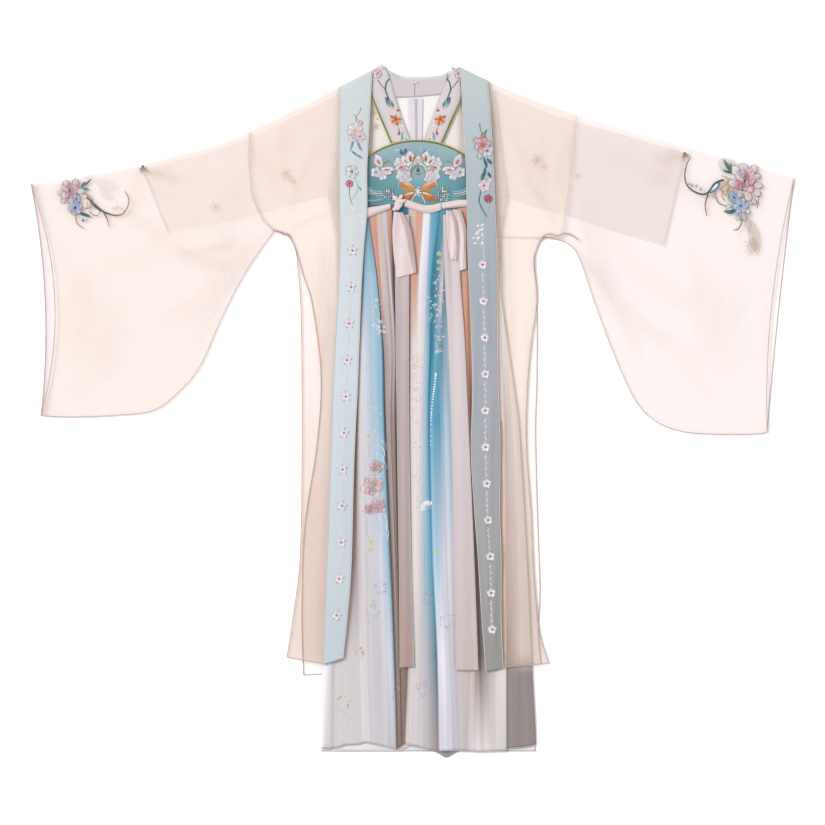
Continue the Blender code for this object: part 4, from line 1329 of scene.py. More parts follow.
def skirt_under():
    def place_back(u, v):
        y, z, left, right = at_share([(k / 6, *row) for k, row in enumerate(SKIRT_BACK)], v)
        x = mix(left, right, u)
        y -= 14.0 * eased(v, 0.83, 1.0) * max(0.0, 1.0 - abs(x - 67.8) / 24.0)
        return x, y, z + 0.6

    def dye_back(u, v, x, y, gather_and_shade):
        return blend(seen(238, 234, 236), seen(160, 154, 158), math.exp(-((x - 66) / 26) ** 2))

    back = cloth("skirt_back", SKIRT, 80, 110, place_back, dye_back, wall=0.4)
    keep(back, "skirt_back", slot="blue_chiffon")
    hem = keep(cords("skirt_back_hem", BLUE_HEM, [edge(place_back, down=1.0)], 0.6))

    def place_lining(u, v):
        _, z, left, right = at_share([(k / 5, *row) for k, row in enumerate(LINING)], v)
        x = mix(left, right, u)
        foot = at_share([(float(a), b) for a, b in LINING_HEM], x)[0]
        return x, mix(407, foot, v), z + 0.7

    lining = cloth("skirt_lining", SKIRT, 60, 110, place_lining, seen(238, 234, 236), wall=0.4)
    keep(lining, "skirt_lining", slot="white_lining")


# ---------------------------------------------------------------- ties and ribbons

TIE_DYE = seen(230, 212, 212)
TIE_SHADE = seen(198, 174, 170)
TIES = {
    "tie_left": ((-121, 402, 384), (-91, 406, 386), (-65, 410, 396), (-44, 414, 405)),
    "tie_centre": ((-16, 424, 408), (1, 418, 402), (21, 412, 396), (39, 412, 396), (57, 416, 401)),
    "tie_right": ((58, 416, 403), (87, 421, 406), (107, 422, 408), (131, 420, 406)),
}
HANGING = {
    # name: height, rows of left x, y and right x, y from the top
    "tie_tail_left": (TAIL_Z, ((-37, 398, -19, 396), (-40, 362, -3, 364), (-38, 316, 4, 318),
                               (-32, 266, 8, 276))),
    "tie_tail_right": (TAIL_Z, ((80, 402, 96, 402), (86, 364, 107, 366), (92, 322, 107, 322),
                                (95, 280, 107, 284))),
    "tie_loop_right": (LOOP_Z, ((67, 400, 79, 400), (68, 372, 89, 374), (71, 332, 93, 334),
                                (76, 304, 88, 300))),
    "ribbon_left": (RIBBON_Z, ((-33, 392, -7, 392), (-34, 262, -7, 262), (-31, -18, -7, -18),
                               (-27, -298, -3, -298), (-25, -512, 3, -512))),
    "ribbon_right": (RIBBON_Z, ((61, 392, 91, 392), (65, 262, 95, 262), (71, 154, 103, 154),
                                (77, -18, 111, -18), (83, -298, 123, -298), (87, -518, 131, -518))),
}
# Tones of the long ribbons from the top, darker towards the bottom.
RIBBON_TONES = {
    "ribbon_left": (seen(196, 178, 177), seen(200, 184, 185), seen(190, 174, 175), seen(184, 168, 166),
                    seen(178, 158, 154), seen(176, 148, 142)),
    "ribbon_right": (seen(212, 198, 200), seen(214, 200, 203), seen(218, 205, 208), seen(214, 202, 205),
                     seen(208, 193, 195), seen(202, 184, 181)),
}


def ties():
    for name, stations in TIES.items():
        def place(u, v, stations=stations):
            x, top, foot = row_at(stations, u)
            fold = 0.9 * math.sin(math.pi * v) ** 0.6 + 0.5 * math.sin(3.2 * math.pi * v + 4.0 * u) * v
            return x, mix(top, foot, v), TIE_Z + 1.0 + fold

        def dye_and_painted_light(u, v, x, y, gather_and_shade):
            return blend(TIE_DYE, TIE_SHADE, 0.7 * eased(v, 0.55,
                                                         1.0) + 0.25 * (1 - eased(v, 0.0, 0.15)))

        tie = cloth(name, RIBBON, 40, 16, place, dye_and_painted_light, wall=0.8)
        keep(tie, name, slot="pink_ribbon")
    for name, (height, rows) in HANGING.items():
        long = name.startswith("ribbon")

        def place(u, v, rows=rows, height=height, long=long):
            x0, y0, x1, y1 = row_at(rows, v)
            wave = 0.5 * math.sin(2.5 * math.pi * u + 5.0 * v)
            return mix(x0, x1, u), mix(y0, y1, u), height + 0.9 + wave * (1.0 if long else 1.6)

        def dye_and_painted_light(u, v, x, y, gather_and_shade, name=name):
            if name in RIBBON_TONES:
                colour = tuple(row_at(RIBBON_TONES[name], v))
                # A painted shade runs along a fold near the top of the ribbon.
                return blend(colour, seen(150, 126, 122), 0.35 * math.exp(-((u - 0.32) / 0.08) ** 2)
                             * (1 - eased(v, 0.0, 0.4)))
            crossing = mix(0.55, 0.85, v)
            return blend(TIE_DYE, TIE_SHADE, eased(u, crossing - 0.03, crossing + 0.03))

        ribbon = cloth(name, RIBBON, 16, 200 if long else 50, place, dye_and_painted_light, wall=0.6)
        keep(ribbon, name, slot="pink_ribbon")
        width = math.dist(rows[1][:2], rows[1][2:]) * MM
        length = (rows[0][1] - rows[-1][1]) * MM
        trims = []
        if long:
            trims = [keep(cords(f"{name}_edges", CREAM_EDGE,
                                [edge(place, across=0.0), edge(place, across=1.0)], 0.45))]


def knot():
    """The tied knot: a wrapped lump, two ears of ribbon above it and the turn below."""
    bm = bmesh.new()
    colour = bm.verts.layers.float_color.new("dye_and_painted_light")
    cover = bm.verts.layers.float.new("cover")
    lobes = (
        # x, y, z, half length, half width, half height, turn in degrees
        (-28, 411, 11.2, 11.5, 7.5, 3.2, 62),
        (-25, 417, 11.9, 12.5, 4.6, 2.8, 18),
        (-33, 424, 11.4, 9.0, 4.4, 2.4, 138),
        (-24, 426, 11.2, 7.5, 3.6, 2.2, 62),
        (-33, 405, 11.2, 8.0, 4.2, 2.6, 210),
    )
    for at_x, at_y, at_z, long, wide, high, turn in lobes:
        made = bmesh.ops.create_uvsphere(bm, u_segments=28, v_segments=16, radius=1.0)
        angle = math.radians(turn)
        for vert in made["verts"]:
            x, y, z = vert.co
            pleat = 0.07 * math.sin(7 * y + 2 * x + 0.1 * turn)
            vert[colour] = (*blend(TIE_SHADE, TIE_DYE, eased(pleat + 0.12 * z, -0.12, 0.08)), 1.0)
            vert[cover] = 1.0
            along_x, across_y = long * x, wide * y * (1.0 + pleat)
            vert.co = (at_x + along_x * math.cos(angle) - across_y * math.sin(angle),
                       at_y + along_x * math.sin(angle) + across_y * math.cos(angle),
                       at_z + high * z * (1.0 + pleat))
    keep(add_piece("tie_knot_left", bm, RIBBON), "tie_knot_left", slot="pink_ribbon")


# ---------------------------------------------------------------- embroidery and prints

WHITE = seen(255, 252, 255)
BLUSH = seen(250, 214, 222)
PINK = seen(240, 160, 178)
ROSE = seen(206, 88, 112)
RED = seen(176, 48, 66)
PEACH_THREAD = seen(236, 186, 158)
ORANGE = seen(214, 110, 52)
GOLD = seen(206, 150, 74)
SAND = seen(214, 180, 140)
UMBER = seen(122, 84, 62)
LILAC = seen(220, 212, 240)
PERIWINKLE = seen(160, 184, 232)
SEA = seen(70, 128, 146)
DEEP_SEA = seen(34, 78, 98)
PALE_SEA = seen(168, 204, 214)
MOSS = seen(96, 142, 112)
GREY_GREEN = seen(150, 168, 158)
SMOKE = seen(120, 104, 116)
SILVER = seen(224, 220, 230)


def stitched_petal(work, x, y, angle, length, width, fill, rim, line, lift=0.8, cover=1.0, strokes=3):
    """A filled petal with its outline and a few long stitches drawn over it."""
    work.petal(x, y, angle, length, width, fill, rim, lift, cover=cover)
    turn = math.radians(angle)
    along_x, along_y = math.cos(turn), math.sin(turn)

    def at(reach, side):
        return (x + length * reach * along_x - 0.5 * width * side * along_y,
                y + length * reach * along_y + 0.5 * width * side * along_x)

    work.stem([at(0.30, -0.80), at(0.72, -0.98), at(0.97, -0.45), at(0.97, 0.45), at(0.72, 0.98),
               at(0.30, 0.80)],
              0.9, line, 0.9, lift + 0.35, cover=cover)
    for k in range(strokes):
        side = (k + 0.5) / strokes * 1.3 - 0.65
        tone = line if k % 2 else WHITE
        work.dash(*at(0.22, 0.5 * side), *at(0.80 - 0.12 * (k % 2), side), 0.8, tone, lift + 0.5, cover)


def peony(work, x, y, radius, turn, fills, line, heart, cover=1.0):
    """Rings of stitched petals in turn through the fills, round a dark heart."""
    for ring, (reach, count) in enumerate(((1.0, 11), (0.76, 9), (0.50, 7))):
        for k in range(count):
            angle = turn + 21 * ring + 360 * k / count
            length = reach * radius * (0.88 + 0.18 * math.sin(2.3 * k + 1.7 * ring))
            fill = fills[(k + ring) % len(fills)]
            stitched_petal(work, x, y, angle, length, 0.62 * length, blend(fill, line, 0.10), fill,
                           line,
                           0.6 + 0.3 * ring, cover, 2)
    work.petal(x - 0.07 * radius, y - 0.16 * radius, 70, 0.36 * radius, 0.26 * radius, heart, heart,
               2.2,
               cover=cover)


def blossom(work, x, y, radius, turn, tip, base, heart, petals=5):
    """A small flower whose petals are outlined in its base colour."""
    line = blend(base, heart, 0.35)
    for k in range(petals):
        stitched_petal(work, x, y, turn + 360 * k / petals, radius, 4.6 * radius / petals, base, tip,
                       line, 0.7,
                       1.0, 2)
    work.bead(x, y, 0.20 * radius, heart, 1.4)


STAR_LINE = seen(172, 156, 170)


def star(work, x, y, radius, turn, heart):
    """A pointed white flower of the band, with a small dark star in it."""
    for k in range(5):
        work.leaf(x, y, turn + 72 * k, radius, 0.70 * radius, WHITE, WHITE, 0.0, 0.9)
        tip = math.radians(turn + 72 * k)
        for lean in (-0.46, 0.46):
            work.dash(x + 0.50 * radius * math.cos(tip + lean),
                      y + 0.50 * radius * math.sin(tip + lean),
                      x + radius * math.cos(tip), y + radius * math.sin(tip), 0.6, STAR_LINE, 1.2)
    for k in range(5):
        work.leaf(x, y, turn + 72 * k, 0.56 * radius, 0.2 * radius, heart, blend(heart, WHITE, 0.35),
                  0.0, 1.4)
    work.bead(x, y, 0.16 * radius, heart, 1.6)


def sleeve_embroidery():
    left = Stitching()
    peony(left, -685, 440, 20, 20, (WHITE, BLUSH, WHITE, PINK), PINK, DEEP_SEA)
    for x, y, angle, length, width, fill, line in (
            (-676, 446, 78, 18, 13, BLUSH, ROSE), (-690, 448, 112, 14, 12, WHITE, ROSE),
            (-697, 436, 190, 12, 10, BLUSH, PINK), (-672, 438, 8, 17, 11, WHITE, LILAC),
            (-694, 428, 240, 14, 10, BLUSH, PINK), (-682, 426, 270, 12, 10, WHITE, PINK)):
        stitched_petal(left, x, y, angle, length, width, fill, WHITE, line, 1.2)
    blossom(left, -672, 424, 9, 40, LILAC, PERIWINKLE, DEEP_SEA)
    blossom(left, -674, 406, 15, 15, LILAC, PERIWINKLE, DEEP_SEA, 6)
    for x, y, width in ((-654, 459, 5.4), (-640, 465, 4.4), (-645, 443, 5.0)):
        left.leaf(-663, 445, math.degrees(math.atan2(y - 445, x + 663)), math.hypot(x + 663, y - 445),
                  width, SEA, MOSS)
    left.stem([(-651, 428), (-636, 413), (-620, 400), (-604, 393), (-589, 391), (-578, 395),
               (-569, 408),
               (-567, 424), (-575, 439)], 4.0, DEEP_SEA, 0.45, 0.8, GOLD)
    left.stem([(-643, 421), (-635, 409), (-618, 398), (-606, 394)], 4.0, SEA, 0.8, 1.1, DEEP_SEA)
    left.stem([(-616, 395), (-610, 383), (-606, 368)], 3.0, UMBER, 0.6, 0.7, SAND)
    left.leaf(-667, 397, -28, 27, 7, DEEP_SEA, SEA, 0.12)
    left.stem([(-673, 392), (-672, 380), (-667, 371), (-656, 365)], 2.8, GOLD, 0.6)
    left.stem([(-657, 426), (-646, 421), (-643, 409), (-655, 403)], 2.2, SAND, 0.8, 0.8, GOLD)
    left.stem([(-655, 434), (-643, 428), (-638, 414), (-646, 404)], 2.2, GOLD, 0.8, 0.8, SAND)
    left.stem([(-646, 398), (-636, 391), (-627, 392), (-625, 401)], 2.6, GOLD, 0.6)
    left.stem([(-651, 418), (-648, 410), (-653, 405)], 2.4, SAND)
    for x, y in ((-598, 402), (-591, 405), (-583, 401), (-573, 398)):
        left.petal(x, y, 70, 7, 4, LILAC, BLUSH)
    left.petal(-660, 386, -70, 9, 6, LILAC, SMOKE)
    left.petal(-652, 384, -60, 6, 4, PERIWINKLE, LILAC)
    keep(left.lay("sleeve_embroidery_left", ["robe_sleeve_left"], 5.6))

    right = Stitching()
    peony(right, 664, 459, 25, 10, (WHITE, BLUSH, PINK, LILAC), ROSE, DEEP_SEA)
    for x, y, angle, length, width, fill, line in (
            (652, 470, 122, 24, 17, LILAC, PINK), (662, 480, 95, 15, 17, BLUSH, LILAC),
            (674, 474, 52, 22, 14, PINK, ROSE),
            (650, 456, 186, 20, 15, LILAC, LILAC), (682, 452, -8, 18, 12, BLUSH, ROSE),
            (682, 442, -42, 17, 13, PINK, ROSE),
            (668, 440, -78, 22, 15, BLUSH, ROSE), (656, 440, -112, 14, 12, LILAC, ROSE),
            (680, 466, 20, 16, 11, WHITE, UMBER),
            (676, 430, -60, 20, 9, PINK, RED)):
        stitched_petal(right, x, y, angle, length, width, fill, WHITE, line, 1.2)
    blossom(right, 643, 427, 13, 60, PALE_SEA, PERIWINKLE, DEEP_SEA)
    blossom(right, 656, 410, 16, 5, LILAC, PERIWINKLE, SEA, 6)
    for x, y, angle, tone in ((664, 406, -50, PERIWINKLE), (652, 396, -100, SEA),
                              (641, 412, 200, PALE_SEA),
                              (668, 416, 10, LILAC), (660, 396, -75, PALE_SEA)):
        stitched_petal(right, x, y, angle, 15, 8, tone, WHITE, SEA, 0.8)
    for x, y, width in ((621, 504, 7.0), (635, 497, 6.0), (619, 482, 5.0), (628, 494, 4.0)):
        right.leaf(638, 475, math.degrees(math.atan2(y - 475, x - 638)), math.hypot(x - 638, y - 475),
                   width, DEEP_SEA,
                   MOSS)
    right.stem([(622, 462), (605, 455), (591, 437), (578, 433), (560, 440), (548, 452), (544, 471),
                (548, 492),
                (554, 504)], 4.6, DEEP_SEA, 0.4, 0.8, UMBER)
    right.stem([(614, 456), (609, 446), (600, 438), (589, 436)], 3.8, SEA, 0.8, 1.0)
    right.leaf(592, 438, 40, 27, 9, PALE_SEA, WHITE, -0.05, 0.4)
    right.stem([(591, 434), (585, 413), (588, 390)], 3.4, UMBER, 0.6, 0.7, GOLD)
    right.leaf(622, 398, 12, 25, 11, MOSS, DEEP_SEA, -0.10)
    right.leaf(627, 402, 14, 15, 5, WHITE, PALE_SEA, -0.05, 1.1)
    right.stem([(659, 391), (657, 375), (651, 364), (642, 361)], 3.2, GOLD, 0.6, 0.7, UMBER)
    right.stem([(604, 438), (607, 424), (613, 415), (625, 410)], 2.8, GOLD, 0.6, 0.7, UMBER)
    for points in ([(618, 470), (628, 467), (631, 457), (622, 450), (617, 440), (626, 430)],
                   [(634, 466), (640, 458), (634, 448), (628, 440), (632, 426)],
                   [(612, 446), (620, 440), (618, 430), (624, 420)],
                   [(626, 458), (634, 452), (630, 438)]):
        right.stem(points, 2.4, SAND, 0.8, 0.9, GOLD)
    for x, y, angle in ((560, 448, 110), (567, 446, 85), (574, 440, 50), (598, 431, -40),
                        (554, 452, 150)):
        right.petal(x, y, angle, 9, 5, SMOKE, LILAC)
    right.stem([(690, 436), (692, 420), (688, 404)], 2.0, SMOKE, 0.5, 0.6, UMBER)
    keep(right.lay("sleeve_embroidery_right", ["robe_sleeve_right"], 5.6))

    backing = Stitching(PRINT)
    for x, y, angle, length, width in ((664, 412, -82, 60, 16), (676, 384, -80, 74, 26),
                                       (682, 350, -100, 40, 22)):
        backing.leaf(x, y, angle, length, width, seen(206, 178, 158), seen(196, 168, 150), 0.02, 0.1,
                     0.30)
    for x, y, turn in ((672, 330, 170), (670, 320, 185), (668, 338, 175), (674, 312, 200)):
        backing.leaf(x, y, turn, 9, 3, seen(206, 178, 158), WHITE, 0.1, 0.1, 0.4)
    backing.leaf(618, 462, -40, 46, 34, seen(214, 190, 166), seen(214, 190, 166), 0.0, 0.1, 0.35)
    backing.leaf(610, 500, -20, 40, 40, seen(196, 190, 186), seen(196, 190, 186), 0.0, 0.1, 0.25)
    keep(backing.lay("sleeve_backing_right", ["robe_sleeve_right"], 5.6, 0.05))
    backing = Stitching(PRINT)
    for x, y, angle, length, width in ((-640, 462, -20, 58, 22), (-628, 446, -40, 40, 20),
                                       (-664, 470, 0, 30, 12)):
        backing.leaf(x, y, angle, length, width, seen(222, 208, 196), seen(232, 218, 208), 0.0, 0.1,
                     0.15)
    keep(backing.lay("sleeve_backing_left", ["robe_sleeve_left"], 5.6, 0.05))
    # The sleeves' gathers: folds that darken towards the pinch and a dark bead at it, painted shade in
    # the gathered cloth.
    for side, at_x, at_y, lean in (("left", -539, 488, 0.0), ("right", 544, 514, 0.2)):
        knots = Stitching()
        for k in range(7):
            angle = -150 + 20 * k if side == "left" else -160 + 22 * k
            knots.leaf(at_x, at_y, angle, 9 + 4 * (k % 3), 2.4, seen(150, 130, 122),
                       seen(226, 200, 186), 0.1 + lean, 1.0)
        knots.bead(at_x, at_y + 1, 2.6, seen(96, 92, 92), 1.4)
        keep(knots.lay(f"sleeve_gather_{side}", [f"robe_sleeve_{side}"], 4.0, 0.0))


def band_point(side, share, y):
    """x at a share across the band, from its seam to its free edge, at a height y."""
    table = [(-row[1], row[0], row[2]) for row in ROBE_BAND[side]]
    x0, x1 = at_share(table, -y)
    return mix(x0, x1, share)


BAND_STARS = {"left": (320, 0.54, ROSE), "right": (292, 0.50, RED)}
STAR_STEP = 72.8


def band_embroidery(side):
    random.seed(11 if side == "left" else 12)
    work = Stitching()
    first, across, heart = BAND_STARS[side]

    def at(share, y):
        return band_point(side, share, y), y

    for k in range(11):
        x, y = at(across + random.uniform(-0.02, 0.02), first - STAR_STEP * k)
        star(work, x, y, 10.6, 90 + random.uniform(-12, 12), heart)
        if k == 10:
            continue
        for step in range(13):
            fall = y - 13 - 3.9 * step
            x0, _ = at(across, fall)
            sway = 1.5 if step % 2 else -1.5
            tone = WHITE if side == "left" or step % 3 else SILVER
            work.dash(x0 + sway, fall, x0 + 0.2 * sway, fall - 3.4, 1.5 if side == "left" else 1.9,
                      tone, 0.6)
            if side == "right" and step % 3 == 1:
                work.bead(x0 - sway, fall - 3.4, 1.1, WHITE, 0.8)
    if side == "left":
        work.stem([(-103, 606), (-105, 598), (-112, 588), (-113, 578)], 1.8, GREY_GREEN, 0.6)
        work.stem([(-118, 592), (-112, 586), (-111, 578)], 1.6, GREY_GREEN, 0.6)
        blossom(work, -115, 560, 16, 20, WHITE, BLUSH, PEACH_THREAD, 6)
        blossom(work, -105, 548, 11, 60, WHITE, BLUSH, ROSE)
        blossom(work, -119, 545, 9, 10, WHITE, LILAC, PEACH_THREAD)
        stitched_petal(work, -108, 568, 60, 13, 9, WHITE, BLUSH, PEACH_THREAD)
        for x, y, angle, length in ((-117, 540, -120, 24), (-110, 538, -75, 18), (-122, 520, -50, 22),
                                    (-112, 512, -40, 16), (-107, 528, -60, 12)):
            work.leaf(x, y, angle, length, 5.2, SEA, PALE_SEA, 0.15)
        blossom(work, -121, 478, 13, 0, WHITE, LILAC, SMOKE)
        work.petal(-110, 484, -40, 9, 6, LILAC, WHITE)
        blossom(work, -126, 454, 7.5, 30, PINK, ROSE, RED)
        work.stem([(-116, 466), (-108, 448), (-112, 436), (-122, 420)], 1.8, PALE_SEA, 0.7)
        work.leaf(-112, 452, -60, 16, 4, PALE_SEA, SEA, 0.2)
        work.stem([(-125, 446), (-126, 432), (-120, 412)], 1.6, SEA, 0.6)
        for x, y, angle in ((-121, 405, -40), (-110, 393, -55), (-100, 392, -95), (-99, 380, -95)):
            work.leaf(x, y, angle, 9, 3.2, WHITE, WHITE)
        for k in range(6):
            work.dash(-116 - 0.4 * k, 378 - 8 * k, -116 - 0.4 * k, 373 - 8 * k, 1.5, WHITE)
    else:
        work.stem([(134, 574), (136, 560), (142, 550)], 2.2, MOSS, 0.6)
        work.leaf(143, 552, 60, 13, 5, MOSS, GREY_GREEN)
        blossom(work, 140, 531, 17, 80, BLUSH, ROSE, ORANGE, 6)
        blossom(work, 149, 520, 12, 20, WHITE, LILAC, SMOKE)
        stitched_petal(work, 134, 536, 150, 14, 9, PINK, BLUSH, RED)
        stitched_petal(work, 140, 540, 80, 15, 9, GOLD, PINK, UMBER)
        stitched_petal(work, 138, 518, -110, 15, 10, LILAC, WHITE, SMOKE)
        for x, y, angle, length in ((142, 508, -80, 24), (148, 506, -60, 18), (147, 490, -110, 26),
                                    (140, 476, -100, 22), (150, 478, -70, 14)):
            work.leaf(x, y, angle, length, 6.4, SEA, DEEP_SEA, 0.12)
        blossom(work, 143, 450, 13, 30, WHITE, BLUSH, ROSE)
        work.petal(150, 458, 30, 9, 5, LILAC, WHITE)
        blossom(work, 151, 424, 8.5, 10, ROSE, RED, RED)
        work.stem([(138, 444), (133, 420), (140, 402), (148, 388)], 3.0, SEA, 0.5, 0.7, DEEP_SEA)
        work.stem([(146, 440), (152, 414), (150, 396), (144, 380)], 2.4, PALE_SEA, 0.5)
        for x, y, angle in ((143, 374, -140), (137, 364, -130), (128, 360, -60), (130, 350, -90),
                            (138, 356, -70)):
            work.leaf(x, y, angle, 11, 4.4, WHITE, SILVER)
        for x, y in ((142, 366), (134, 372), (131, 356), (126, 346), (136, 348), (141, 338),
                     (129, 336)):
            work.leaf(x, y, 200 + 3 * (x - 130), 8, 3.6, WHITE, WHITE)
        for k in range(9):
            work.dash(140 + 0.3 * k, 344 - 4.9 * k, 141 + 0.3 * k, 340.6 - 4.9 * k, 2.0, WHITE, 0.7)
            work.dash(126 + 0.2 * k, 334 - 3.9 * k, 125 + 0.2 * k, 331 - 3.9 * k, 1.3, SILVER, 0.6)
    keep(work.lay(f"band_embroidery_{side}", [f"robe_band_{side}"], 13.0))


COLLAR_MIRROR = 11.0


def collar_embroidery(side):
    work = Stitching()
    work.mirror = None if side == "left" else COLLAR_MIRROR
    blossom(work, -70, 674, 9, 10, WHITE, PINK, ROSE)
    work.petal(-62, 682, 40, 8, 6, PINK, LILAC)
    work.stem([(-46, 664), (-52, 656), (-54, 642), (-50, 630), (-46, 620)], 3.4, SEA, 0.8, 0.8,
              DEEP_SEA)
    work.stem([(-70, 662), (-62, 651), (-55, 643)], 1.8, DEEP_SEA, 0.7)
    work.leaf(-54, 628, -62, 26, 9, DEEP_SEA, PALE_SEA, -0.06)
    work.leaf(-48, 626, -66, 22, 6, PALE_SEA, SEA, 0.10, 0.9)
    work.leaf(-44, 622, -80, 16, 4, DEEP_SEA, DEEP_SEA, 0.14, 0.9)
    work.petal(-39, 612, -100, 9, 5, ROSE, PEACH_THREAD)
    work.petal(-34, 604, -30, 10, 6, WHITE, RED)
    for k, (angle, length) in enumerate(((150, 15), (185, 13), (215, 12), (250, 14), (285, 15),
                                         (320, 14), (0, 12),
                                         (40, 9), (95, 9))):
        work.petal(-33, 583, angle, length, 6.5, ORANGE, PEACH_THREAD if k % 2 else ORANGE,
                   0.8 + 0.1 * (k % 3))
    work.bead(-33, 583, 2.2, RED, 1.5)
    work.petal(-24, 574, -50, 10, 6, LILAC, WHITE)
    work.stem([(-28, 566), (-26, 558)], 1.6, UMBER, 0.8)
    work.petal(-26, 560, -100, 10, 6, RED, ROSE)
    work.leaf(-18, 558, -120, 22, 5, SEA, PALE_SEA, 0.28)
    work.leaf(-20, 556, -80, 12, 3.6, PALE_SEA, WHITE, 0.2, 0.8)
    work.stem([(-14, 546), (-8, 538)], 1.5, SEA, 0.5)
    keep(work.lay(f"collar_embroidery_{side}", [f"top_collar_{side}", "top_front_left",
                                                "top_front_right"], 6.4))


def butterfly_side(work):
    """A white butterfly beside the crown, its wings up and inwards, over small flowers."""
    stitched_petal(work, -60, 487, 118, 30, 15, WHITE, WHITE, SILVER, 0.9)
    stitched_petal(work, -61, 487, 134, 24, 12, WHITE, BLUSH, SILVER, 0.9)
    work.petal(-63, 490, 122, 17, 6.5, RED, ORANGE, 1.5)
    stitched_petal(work, -62, 484, -4, 26, 12, WHITE, WHITE, SILVER, 0.9)
    stitched_petal(work, -62, 482, -22, 22, 11, PEACH_THREAD, WHITE, ORANGE, 0.9)
    work.petal(-58, 483, -10, 14, 5.5, RED, ORANGE, 1.5)
    blossom(work, -73, 477, 11, 0, WHITE, LILAC, SMOKE)
    blossom(work, -60, 471, 10, 30, WHITE, LILAC, SILVER)
    work.stem([(-62, 486), (-55, 497), (-45, 500)], 1.5, GOLD, 0.7, 1.6)
    work.stem([(-60, 486), (-52, 492), (-42, 491)], 1.5, WHITE, 0.7, 1.6)
    work.stem([(-70, 500), (-60, 502), (-52, 507)], 1.3, GREY_GREEN, 0.6)


def chest_embroidery():
    for label, mirror in (("left", None), ("right", COLLAR_MIRROR)):
        side = Stitching()
        side.mirror = mirror
        butterfly_side(side)
        for y, end, colour, width in ((448, 438, PALE_SEA, 2.2), (443, 434, WHITE, 1.6),
                                      (437, 431, PEACH_THREAD, 2.4),
                                      (430, 434, SEA, 2.0), (421, 424, PALE_SEA, 2.0),
                                      (414, 420, SMOKE, 1.8)):
            side.stem([(-90, y), (-76, mix(y, end, 0.6) - 2), (-58, end)], width, colour, 0.7)
        keep(side.lay(f"chest_embroidery_{label}", ["skirt_band_front"], 7.2))

    crown = Stitching()
    x, y = COLLAR_MIRROR, 480.0
    for mirror in (None, COLLAR_MIRROR):
        crown.mirror = mirror
        blossom(crown, -19, 471, 15, 15, WHITE, LILAC, SILVER, 6)
        blossom(crown, -10, 466, 10, 50, WHITE, BLUSH, LILAC)
        blossom(crown, -25, 495, 13, 50, WHITE, LILAC, BLUSH)
        stitched_petal(crown, -16, 489, 196, 20, 15, WHITE, WHITE, SILVER, 1.2)
        crown.petal(-18, 489, 205, 13, 7, RED, ORANGE, 1.8)
        stitched_petal(crown, -6, 490, 128, 26, 17, WHITE, WHITE, SILVER, 1.1)
        crown.petal(-9, 493, 132, 15, 7, UMBER, GOLD, 1.8)
        stitched_petal(crown, -4, 493, 94, 28, 18, WHITE, WHITE, SILVER, 1.3)
        crown.petal(-4, 495, 92, 19, 9, UMBER, ORANGE, 1.9)
        crown.petal(-1, 496, 78, 14, 5, GOLD, PEACH_THREAD, 2.0)
        stitched_petal(crown, 4, 492, 62, 20, 12, BLUSH, WHITE, PEACH_THREAD, 1.0)
        stitched_petal(crown, -8, 484, 170, 14, 11, WHITE, PEACH_THREAD, ORANGE, 1.3)
        crown.stem([(-3, 466), (-3, 477), (2, 486), (11, 490)], 2.6, GOLD, 0.9, 1.7)
        crown.stem([(-6, 466), (-6.5, 478), (-1, 490), (9, 494)], 2.4, WHITE, 0.9, 1.9)
    crown.mirror = None
    crown.petal(x, y + 7, 270, 11, 7, SEA, DEEP_SEA, 1.2)
    crown.stem([(x - 6, y - 4), (x - 2, y - 8), (x, y - 5), (x + 2, y - 8), (x + 6, y - 4)], 1.6, GOLD,
               1.0, 1.3)
    crown.leaf(-20, 509, 108, 16, 7, DEEP_SEA, SEA)
    crown.leaf(-17, 508, 76, 18, 6, SEA, DEEP_SEA)
    crown.stem([(-38, 512), (-30, 518), (-22, 512)], 2.2, PALE_SEA, 0.5)
    crown.stem([(-34, 520), (-27, 522), (-22, 517)], 1.8, WHITE, 0.5)
    for angle, tone in ((112, PERIWINKLE), (76, SEA), (40, PERIWINKLE), (10, SEA)):
        crown.leaf(22, 512, angle, 18, 6, tone, PALE_SEA)
    crown.stem([(30, 522), (38, 520), (44, 513)], 1.8, PALE_SEA, 0.5)
    keep(crown.lay("chest_embroidery_crown", ["skirt_band_front"], 7.2))

    moth = Stitching()
    for mirror in (None, COLLAR_MIRROR):
        moth.mirror = mirror
        moth.petal(8, 440, 154, 39, 20, GOLD, GOLD, 1.0)
        moth.petal(5, 443, 148, 32, 8, ORANGE, PEACH_THREAD, 1.6)
        moth.petal(4, 441, 160, 33, 6, PEACH_THREAD, ORANGE, 1.7)
        moth.petal(7, 437, 206, 36, 17, GOLD, ORANGE, 1.0)
        moth.petal(4, 437, 198, 26, 7, WHITE, SAND, 1.6)
        moth.petal(2, 434, 214, 20, 5, UMBER, GOLD, 1.6)
        moth.stem([(2, 446), (-12, 459), (-26, 456), (-27, 446)], 1.4, WHITE, 0.9, 1.9)
        moth.stem([(4, 432), (-10, 423), (-26, 420), (-28, 428)], 2.2, ORANGE, 0.8, 1.5)
        moth.stem([(6, 432), (0, 424), (-3, 414)], 2.2, WHITE, 0.8, 1.3)
    moth.mirror = None
    for k in range(11):
        moth.bead(11 + 11 * math.cos(0.3 * k + 3.3), 426 + 11 * math.sin(0.3 * k + 3.3), 1.2, SAND, 1.0)
    keep(moth.lay("chest_embroidery_moth", ["skirt_band_front"], 7.2))


